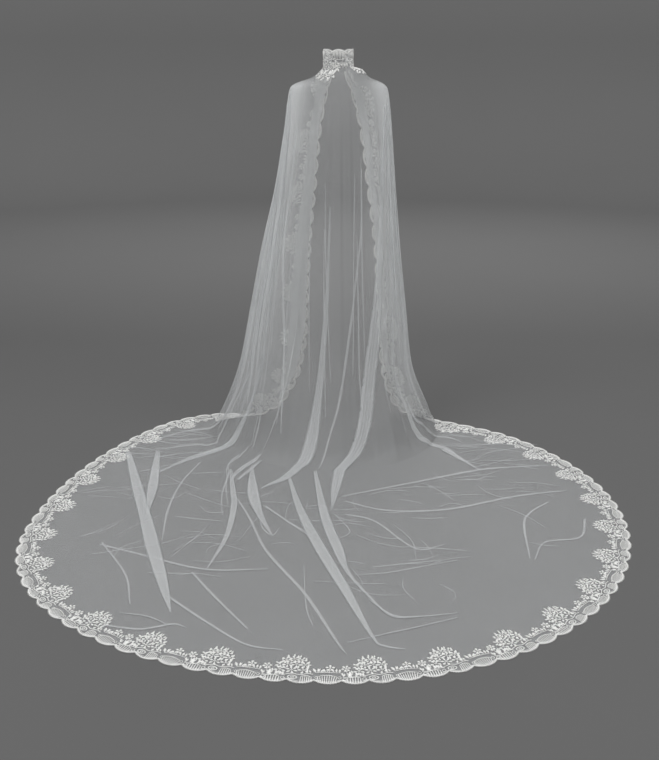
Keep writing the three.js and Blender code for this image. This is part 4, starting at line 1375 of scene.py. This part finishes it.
    def streaks(self) -> list[Pleat]:
        """The fine folds that fan down from the shoulders, spaced at random from a fixed seed.

        Returns:
            The folds of both sides, and a few at the middle of the back.
        """
        chance = np.random.default_rng(7)
        found = []
        for side, count, near, far in STREAK_FANS:
            for share in np.linspace(0, 1, count):
                low = near + (far - near) * share + chance.uniform(-0.01, 0.01)
                high = 0.5 + 0.35 * (low - 0.5)
                start, end = chance.uniform(4.0, 5.2), chance.uniform(8.5, 11.6)
                wide = chance.uniform(4, 11)
                middle = (side * mix(high, low, 0.6), mix(start, end, 0.4))
                found.append(Pleat([(side * high, start), middle, (side * low, end)], [2, wide, 2]))
        for _ in range(self.back_streaks):
            at, start = chance.uniform(-0.25, 0.25), chance.uniform(5.0, 8.0)
            drift, wide = chance.uniform(-0.03, 0.03), chance.uniform(3, 6)
            found.append(Pleat([(at, start), (at + drift, start + 1.5), (at + 2 * drift, start + 3.2)],
                               [2, wide, 2]))
        return found

    def creases(self) -> list[FloorFold]:
        """The faint fine creases of the train, at random from a fixed seed.

        Returns:
            The creases. Most run across the train, and the others away from the foot.
        """
        chance = np.random.default_rng(11)
        found = []
        for number in range(self.crease_count):
            around, row = chance.uniform(-0.55, 0.55), chance.uniform(12.5, 14.2)
            start = self.drape.plain_point(around, row)[:2]
            angle = chance.normal(0, 0.25) if number % 3 else math.atan2(start[1], start[0] + 1e-6)
            reach, bend = chance.uniform(0.08, 0.26), chance.uniform(-0.03, 0.03)
            way = np.array([math.cos(angle), math.sin(angle)]) * reach / 2
            side = np.array([-way[1], way[0]]) * bend / reach * 2
            path = [tuple(start - way), tuple(start + side), tuple(start + way)]
            found.append(FloorFold(path, [1.0, chance.uniform(1.8, 3.6), 1.0]))
        return found

    def build(self, material: bpy.types.Material) -> bpy.types.Object:
        """Builds the sheet with its folds.

        Args:
            material: The tulle's finish.

        Returns:
            The piece.
        """
        parts = MeshParts()
        self.sheet(parts)
        for pleat in PLEATS:
            self.pleat(parts, pleat)
            if max(pleat.widths) > self.lined_width:
                for offset in self.line_places:
                    self.pleat(parts, pleat, wide=3, offset=offset, part=self.line_part)
        for streak in self.streaks():
            self.pleat(parts, streak, wide=3)
        for fold in FLOOR_FOLDS + self.creases():
            self.floor_fold(parts, fold, wide=7 if max(fold.widths) > self.crease_width else 3)
        piece = parts.piece(self.name, [material])
        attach(piece, "root")
        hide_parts("tulle_veil")
        log.info("%s: %d triangles", self.name, sum(len(f) for f in parts.faces))
        return piece


class Wiring:
    """Lays out shader nodes in a material or a node group."""

    def __init__(self, tree: bpy.types.NodeTree) -> None:
        """Starts on a tree.

        Args:
            tree: The node tree to add to.
        """
        self.tree = tree

    def node(self, kind: str, values: dict[str, object] | None = None, **settings: object) -> bpy.types.Node:
        """Adds a node.

        Args:
            kind: The node's type name.
            values: Values or output sockets for its inputs, by the input's name or number.
            **settings: The node's own settings.

        Returns:
            The node.
        """
        node = self.tree.nodes.new(kind)
        for name, value in settings.items():
            setattr(node, name, value)
        self.feed(node, values or {})
        return node

    def feed(self, node: bpy.types.Node, values: dict[str, object]) -> None:
        """Sets or links a node's inputs.

        Args:
            node: The node.
            values: Values or output sockets for its inputs, by the input's name or number.
        """
        for name, value in values.items():
            socket = node.inputs[name]
            if isinstance(value, bpy.types.NodeSocket):
                self.tree.links.new(value, socket)
            else:
                socket.default_value = value

    def blend(self, factor: bpy.types.NodeSocket, low: tuple, high: tuple) -> bpy.types.NodeSocket:
        """Adds a Mix node between two colours and returns the mixed colour."""
        mixer = self.node("ShaderNodeMix", {"Factor": factor, "A": low, "B": high}, data_type="RGBA")
        return mixer.outputs[2]

    def math(self, operation: str, *values: object) -> bpy.types.NodeSocket:
        """Adds a Math node and returns its result."""
        return self.node("ShaderNodeMath", dict(enumerate(values)), operation=operation).outputs[0]

    def place(self) -> None:
        """Puts the nodes in columns, so that the tree can be read."""
        for number, node in enumerate(self.tree.nodes):
            node.location = (220 * (number // 4), -180 * (number % 4))


def new_material(name: str) -> tuple[bpy.types.Material, Wiring, bpy.types.Node]:
    """Starts a material.

    Args:
        name: The material's name.

    Returns:
        The material, the wiring of its tree and its main shader.
    """
    material = bpy.data.materials.new(name)
    material.use_nodes = True
    return material, Wiring(material.node_tree), material.node_tree.nodes["Principled BSDF"]


def new_group(name: str, inputs: dict[str, tuple[str, float]], outputs: dict[str, str]) -> Wiring:
    """Starts a shader node group with named sockets.

    Args:
        name: The group's name.
        inputs: Socket type and default value by input name.
        outputs: Socket type by output name.

    Returns:
        The wiring of the group's tree.
    """
    tree = bpy.data.node_groups.new(name, "ShaderNodeTree")
    for label, (kind, default) in inputs.items():
        socket = tree.interface.new_socket(label, in_out="INPUT", socket_type=kind)
        if kind == "NodeSocketFloat":
            socket.default_value = default
    for label, kind in outputs.items():
        tree.interface.new_socket(label, in_out="OUTPUT", socket_type=kind)
    return Wiring(tree)


@dataclass(frozen=True)
class NetWeave:
    """The mesh of a net: round holes in rows that are set half a hole apart.

    A hole's mask is the distance from the nearest hole's middle. The rows come from two square
    lattices, the second moved by half a cell each way, whose smaller distance is taken.
    """

    name: str = "net_weave"

    def group(self) -> bpy.types.NodeTree:
        """Builds the group, once.

        Returns:
            The group, with Thread from 0 in a hole to 1 on a thread.
        """
        if self.name in bpy.data.node_groups:
            return bpy.data.node_groups[self.name]
        wiring = new_group(
            self.name,
            {"Vector": ("NodeSocketVector", 0.0), "Cell": ("NodeSocketFloat", 0.002),
             "Hole": ("NodeSocketFloat", 0.36)},
            {"Thread": "NodeSocketFloat"},
        )
        given = wiring.node("NodeGroupInput")
        scaled = wiring.node("ShaderNodeVectorMath", {0: given.outputs["Vector"]}, operation="DIVIDE")
        size = wiring.node("ShaderNodeCombineXYZ", {"X": given.outputs["Cell"], "Z": 1.0})
        tall = wiring.math("MULTIPLY", given.outputs["Cell"], 1.73)
        wiring.tree.links.new(tall, size.inputs["Y"])
        wiring.tree.links.new(size.outputs[0], scaled.inputs[1])
        distances = []
        for shift in (0.0, 0.5):
            moved = wiring.node("ShaderNodeVectorMath", {0: scaled.outputs[0], 1: (shift, shift, 0)},
                                operation="ADD")
            part = wiring.node("ShaderNodeVectorMath", {0: moved.outputs[0]}, operation="FRACTION")
            centred = wiring.node("ShaderNodeVectorMath", {0: part.outputs[0], 1: (0.5, 0.5, 0)},
                                  operation="SUBTRACT")
            square = wiring.node("ShaderNodeVectorMath", {0: centred.outputs[0], 1: (1, 1.73, 0)},
                                 operation="MULTIPLY")
            distances.append(wiring.node("ShaderNodeVectorMath", {0: square.outputs[0]},
                                         operation="LENGTH").outputs["Value"])
        nearest = wiring.math("MINIMUM", *distances)
        thread = wiring.node("ShaderNodeMapRange", {
            "Value": nearest, "From Min": given.outputs["Hole"],
            "From Max": wiring.math("ADD", given.outputs["Hole"], 0.1), "To Min": 0.0, "To Max": 1.0,
        })
        given_out = wiring.node("NodeGroupOutput")
        wiring.tree.links.new(thread.outputs[0], given_out.inputs["Thread"])
        wiring.place()
        return wiring.tree


@dataclass(frozen=True)
class ThreadTwist:
    """The lie of the stitches on lace: slanted bands across a rib, uneven, with painted shade in the
    grooves.
    """

    name: str = "thread_twist"

    def group(self) -> bpy.types.NodeTree:
        """Builds the group, once.

        Returns:
            The group, with Height for a bump, and a colour output of small random changes plus painted
            shade, darker where the stitch bands dip.
        """
        if self.name in bpy.data.node_groups:
            return bpy.data.node_groups[self.name]
        wiring = new_group(
            self.name,
            {"Vector": ("NodeSocketVector", 0.0), "Pitch": ("NodeSocketFloat", 0.0012),
             "Slant": ("NodeSocketFloat", 0.8)},
            {"Height": "NodeSocketFloat", "ToneAndGrooveShade": "NodeSocketFloat"},
        )
        given = wiring.node("NodeGroupInput")
        split = wiring.node("ShaderNodeSeparateXYZ", {0: given.outputs["Vector"]})
        slanted = wiring.math("MULTIPLY", split.outputs["Y"], given.outputs["Slant"])
        slid = wiring.math("ADD", split.outputs["X"], slanted)
        along = wiring.math("DIVIDE", slid, given.outputs["Pitch"])
        band = wiring.math("SINE", wiring.math("MULTIPLY", along, 2 * math.pi))
        place = wiring.node("ShaderNodeTexCoord")
        uneven = wiring.node("ShaderNodeTexNoise", {
            "Vector": place.outputs["Object"], "Scale": 420.0, "Detail": 2.0,
        })
        height = wiring.math("MULTIPLY_ADD", band, 0.35, uneven.outputs["Fac"])
        wide = wiring.node("ShaderNodeTexNoise", {
            "Vector": place.outputs["Object"], "Scale": 38.0, "Detail": 3.0,
        })
        # Colour: wide noise for random tone, plus 0.12 of the stitch bands, which paints shade into their
        # grooves and lightens their crests
        tone = wiring.math("MULTIPLY_ADD", band, 0.12, wide.outputs["Fac"])
        given_out = wiring.node("NodeGroupOutput")
        wiring.tree.links.new(height, given_out.inputs["Height"])
        wiring.tree.links.new(tone, given_out.inputs["ToneAndGrooveShade"])
        wiring.place()
        return wiring.tree


@dataclass(frozen=True)
class TulleFinish:
    """Soft sheer net: nearly white, mostly holes, denser where it is bunched."""

    name: str = "soft_tulle"
    cell: float = 0.0018
    hole_cover: float = 0.09
    thread_cover: float = 0.4
    bunched_cover: float = 0.4
    hole: float = 0.4
    roughness: float = 0.7
    dark: tuple[float, float, float, float] = (0.8, 0.82, 0.83, 1)
    light: tuple[float, float, float, float] = (0.9, 0.92, 0.93, 1)

    def material(self) -> bpy.types.Material:
        """Makes the material.

        Returns:
            The material, whose cover is read from the net and the cloth's gathers.
        """
        material, wiring, shader = new_material(self.name)
        cloth = wiring.node("ShaderNodeUVMap", uv_map="cloth")
        net = wiring.node("ShaderNodeGroup", node_tree=NetWeave().group())
        wiring.feed(net, {"Vector": cloth.outputs["UV"], "Cell": self.cell, "Hole": self.hole})
        gather = wiring.node("ShaderNodeAttribute", attribute_name="gather")
        cover = wiring.math("MULTIPLY_ADD", net.outputs["Thread"], self.thread_cover, self.hole_cover)
        cover = wiring.math("MULTIPLY_ADD", gather.outputs["Fac"], self.bunched_cover, cover)
        place = wiring.node("ShaderNodeTexCoord")
        cloud = wiring.node("ShaderNodeTexNoise", {
            "Vector": place.outputs["Object"], "Scale": 5.0, "Detail": 3.0,
        })
        bump = wiring.node("ShaderNodeBump", {
            "Height": net.outputs["Thread"], "Strength": 0.25, "Distance": 0.0004,
        })
        wiring.feed(shader, {
            "Base Color": wiring.blend(cloud.outputs["Fac"], self.dark, self.light),
            "Roughness": wiring.math("MULTIPLY_ADD", cloud.outputs["Fac"], 0.15, self.roughness),
            "Alpha": wiring.math("MINIMUM", cover, 1.0),
            "Normal": bump.outputs[0],
            "Sheen Weight": 0.15,
        })
        wiring.place()
        return material


@dataclass(frozen=True)
class ThreadFinish:
    """Embroidery thread: soft white, its stitches lying across each petal or twisted along a cord."""

    name: str
    pitch: float
    slant: float
    depth: float
    # Darker and lighter ends of the thread colour: random tone, plus painted shade in the stitch grooves
    shaded: tuple[float, float, float, float] = (0.84, 0.84, 0.82, 1)
    bright: tuple[float, float, float, float] = (0.95, 0.95, 0.94, 1)
    roughness: float = 0.55

    def material(self) -> bpy.types.Material:
        """Makes the material.

        Returns:
            The material, with stitch bump, uneven tone with painted shade in the stitch grooves, and a soft
            sheen.
        """
        material, wiring, shader = new_material(self.name)
        cloth = wiring.node("ShaderNodeUVMap", uv_map="cloth")
        twist = wiring.node("ShaderNodeGroup", node_tree=ThreadTwist().group())
        wiring.feed(twist, {"Vector": cloth.outputs["UV"], "Pitch": self.pitch, "Slant": self.slant})
        bump = wiring.node("ShaderNodeBump", {
            "Height": twist.outputs["Height"], "Strength": 0.6, "Distance": self.depth,
        })
        # Random tone plus painted shade in the stitch grooves; shaded is its darker end
        tone = twist.outputs["ToneAndGrooveShade"]
        wiring.feed(shader, {
            "Base Color": wiring.blend(tone, self.shaded, self.bright),
            "Roughness": wiring.math("MULTIPLY_ADD", tone, -0.2, self.roughness + 0.1),
            "Normal": bump.outputs[0],
            "Sheen Weight": 0.25,
        })
        wiring.place()
        return material


@dataclass(frozen=True)
class PaperFinish:
    """The plain seamless floor."""

    name: str = "studio_paper"
    tone: float = 0.12

    def material(self) -> bpy.types.Material:
        """Makes the material.

        Returns:
            The material, one grey with a faint cloud in it.
        """
        material, wiring, shader = new_material(self.name)
        place = wiring.node("ShaderNodeTexCoord")
        cloud = wiring.node("ShaderNodeTexNoise", {"Vector": place.outputs["Object"], "Scale": 1.2})
        low, high = self.tone * 0.98, self.tone * 1.02
        tone = wiring.blend(cloud.outputs["Fac"], (low, low, low, 1), (high, high, high, 1))
        wiring.feed(shader, {"Base Color": tone, "Roughness": 0.9, "Specular IOR Level": 0.1})
        wiring.place()
        return material


class Lamp(NamedTuple):
    """A soft square light: its place, the length of a side, its power and where it is aimed."""

    name: str
    place: tuple[float, float, float]
    size: float
    power: float
    aim: tuple[float, float, float]


VEIL_MIDDLE = (0, -0.5, -0.9)
LAMPS = [
    Lamp("key", (-3.4, -3.4, 3.2), 3.0, 170, VEIL_MIDDLE),
    Lamp("fill", (3.6, -2.6, 2.6), 3.0, 95, VEIL_MIDDLE),
    Lamp("back", (0.8, 4.0, 2.6), 3.0, 90, VEIL_MIDDLE),
    Lamp("wash_left", (-3.0, 2.0, 4.0), 3.0, 270, (-3.2, 8.0, 3.2)),
    Lamp("wash_right", (3.0, 2.0, 4.0), 3.0, 270, (3.2, 8.0, 3.2)),
]


@dataclass(frozen=True)
class Studio:
    """The camera, the floor and the lights."""

    sizes: VeilSizes
    eye: tuple[float, float, float] = (-0.033, -3.665, 0.085)
    pitch_down: float = 20.17
    lens: float = 43.58
    sensor: float = 36.0
    floor_reach: float = 7.0
    wall_radius: float = 1.6
    wall_height: float = 6.0
    floor_middle: float = -0.7
    floor_rings: int = 12
    wall_rings: int = 9
    floor_sides: int = 96
    floor_drop: float = 0.0004
    sky: float = 0.72

    def camera(self) -> None:
        """Sets the camera at the photograph's viewing angle."""
        data = bpy.data.cameras.new("camera")
        data.sensor_fit = "VERTICAL"
        data.sensor_height = self.sensor
        data.lens = self.lens
        data.clip_end = 100
        camera = bpy.data.objects.new("camera", data)
        camera.location = self.eye
        camera.rotation_euler = (math.radians(90 - self.pitch_down), 0, 0)
        bpy.context.scene.collection.objects.link(camera)
        bpy.context.scene.camera = camera

    def floor(self) -> None:
        """The floor: a broad disc of paper that turns up all round, out of the views' reach.

        Its profile runs straight out and then up a quarter circle, and it is turned about the
        middle of the train.
        """
        flat = np.linspace(0.02, self.floor_reach, self.floor_rings)
        turn = np.linspace(0, QUARTER, self.wall_rings + 1)[1:]
        radius = np.concatenate([flat, self.floor_reach + self.wall_radius * np.sin(turn),
                                 [self.floor_reach + self.wall_radius]])
        height = np.concatenate([np.zeros(self.floor_rings), self.wall_radius * (1 - np.cos(turn)),
                                 [self.wall_height]])
        count, low = self.floor_sides, self.sizes.floor - self.floor_drop
        around = np.linspace(0, 2 * math.pi, count, endpoint=False)
        x = radius[:, None] * np.cos(around)
        y = radius[:, None] * np.sin(around) + self.floor_middle
        z = np.broadcast_to((height + low)[:, None], x.shape)
        rings = np.stack([x, y, z], axis=-1).reshape(-1, 3)
        points = np.vstack([rings, [[0.0, self.floor_middle, low]]])
        faces = grid_faces(len(radius), count, wrap=True)[:, ::-1]
        side = np.arange(count)
        hub = np.stack([np.full(count, len(rings)), side, (side + 1) % count], axis=1)
        parts = MeshParts()
        parts.add(points, np.vstack([faces, hub]), points[:, :2])
        parts.piece("studio_floor", [PaperFinish().material()])

    def light(self, lamp: Lamp) -> None:
        """Adds a light.

        Args:
            lamp: Its place and strength.
        """
        data = bpy.data.lights.new(lamp.name, "AREA")
        data.shape = "SQUARE"
        data.size = lamp.size
        data.energy = lamp.power
        light = bpy.data.objects.new(lamp.name, data)
        light.location = lamp.place
        way = Vector(lamp.aim) - Vector(lamp.place)
        light.rotation_euler = way.to_track_quat("-Z", "Y").to_euler()
        bpy.context.scene.collection.objects.link(light)

    def lights(self) -> None:
        """Soft light from above and both sides, a wash on the paper behind, and an even grey sky."""
        for lamp in LAMPS:
            self.light(lamp)
        world = bpy.data.worlds.new("soft_sky")
        world.use_nodes = True
        sky = world.node_tree.nodes["Background"]
        sky.inputs["Color"].default_value = (1, 1, 1, 1)
        sky.inputs["Strength"].default_value = self.sky
        bpy.context.scene.world = world


@dataclass
class Veil:
    """The whole veil: the sheer sheet and the five lengths of its lace edging."""

    sizes: VeilSizes
    front_share: float = 0.19
    collar_scallops: tuple[int, ...] = (2, 1, 0, 1, 2)
    repeat: LaceRepeat = field(default_factory=LaceRepeat)
    pieces: list[bpy.types.Object] = field(default_factory=list)

    def edgings(self, drape: Drape) -> list[LaceEdging]:
        """Divides the border into lengths, as the solids are divided.

        Args:
            drape: The form of the cloth.

        Returns:
            The four lengths of the border and the one of the collar.
        """
        border = EdgeStrip(drape, border_line(drape))
        collar = EdgeStrip(drape, collar_line())
        repeats = round(border.total / self.sizes.lace_repeat)
        repeat = border.total / repeats
        front = round(self.front_share * repeats)
        right = math.floor(repeats / 2 + 0.5) - front
        left = repeats - right - 2 * front
        seam = border.total / 2 + self.sizes.seam_left
        right_join, left_join = seam - right * repeat, seam + left * repeat
        cuts = (
            ("lace_front_right", 0.0, right_join, front),
            ("lace_train_right", right_join, seam, right),
            ("lace_train_left", seam, left_join, left),
            ("lace_front_left", left_join, border.total, front),
        )
        span = self.repeat.length / self.repeat.scallops * MM
        motifs = tuple(range(self.repeat.scallops))
        lengths = [
            LaceEdging(f"{node}_work", node, border, start, end, motifs * count, self.sizes, span)
            for node, start, end, count in cuts
        ]
        neck = LaceEdging("lace_collar_work", "lace_collar", collar, 0.0, collar.total,
                          self.collar_scallops, self.sizes, span, tapered=False)
        return [*lengths, neck]

    def build(self) -> None:
        drape = Drape(self.sizes)
        motifs = self.repeat.motifs()
        threads = [
            ThreadFinish("petal_thread", pitch=0.0011, slant=0.9, depth=0.0003).material(),
            ThreadFinish("cord_thread", pitch=0.0024, slant=1.3, depth=0.0006, roughness=0.45).material(),
        ]
        lace = [edging.build(motifs, threads) for edging in self.edgings(drape)]
        tulle = TulleSheet(drape).build(TulleFinish().material())
        self.pieces = [tulle, *lace]


def main() -> None:
    """Builds the scene: camera, floor and lights first, then the veil."""
    logging.basicConfig(level=logging.INFO, format="%(name)s: %(message)s")
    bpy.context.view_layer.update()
    sizes = VeilSizes()
    studio = Studio(sizes)
    studio.camera()
    studio.floor()
    studio.lights()
    scene = bpy.context.scene
    scene.view_settings.view_transform = "Standard"
    scene.cycles.transparent_max_bounces = NET_LAYERS
    veil = Veil(sizes)
    veil.build()
    log.info("the veil has %d pieces", len(veil.pieces))


if __name__ == "__main__":
    main()
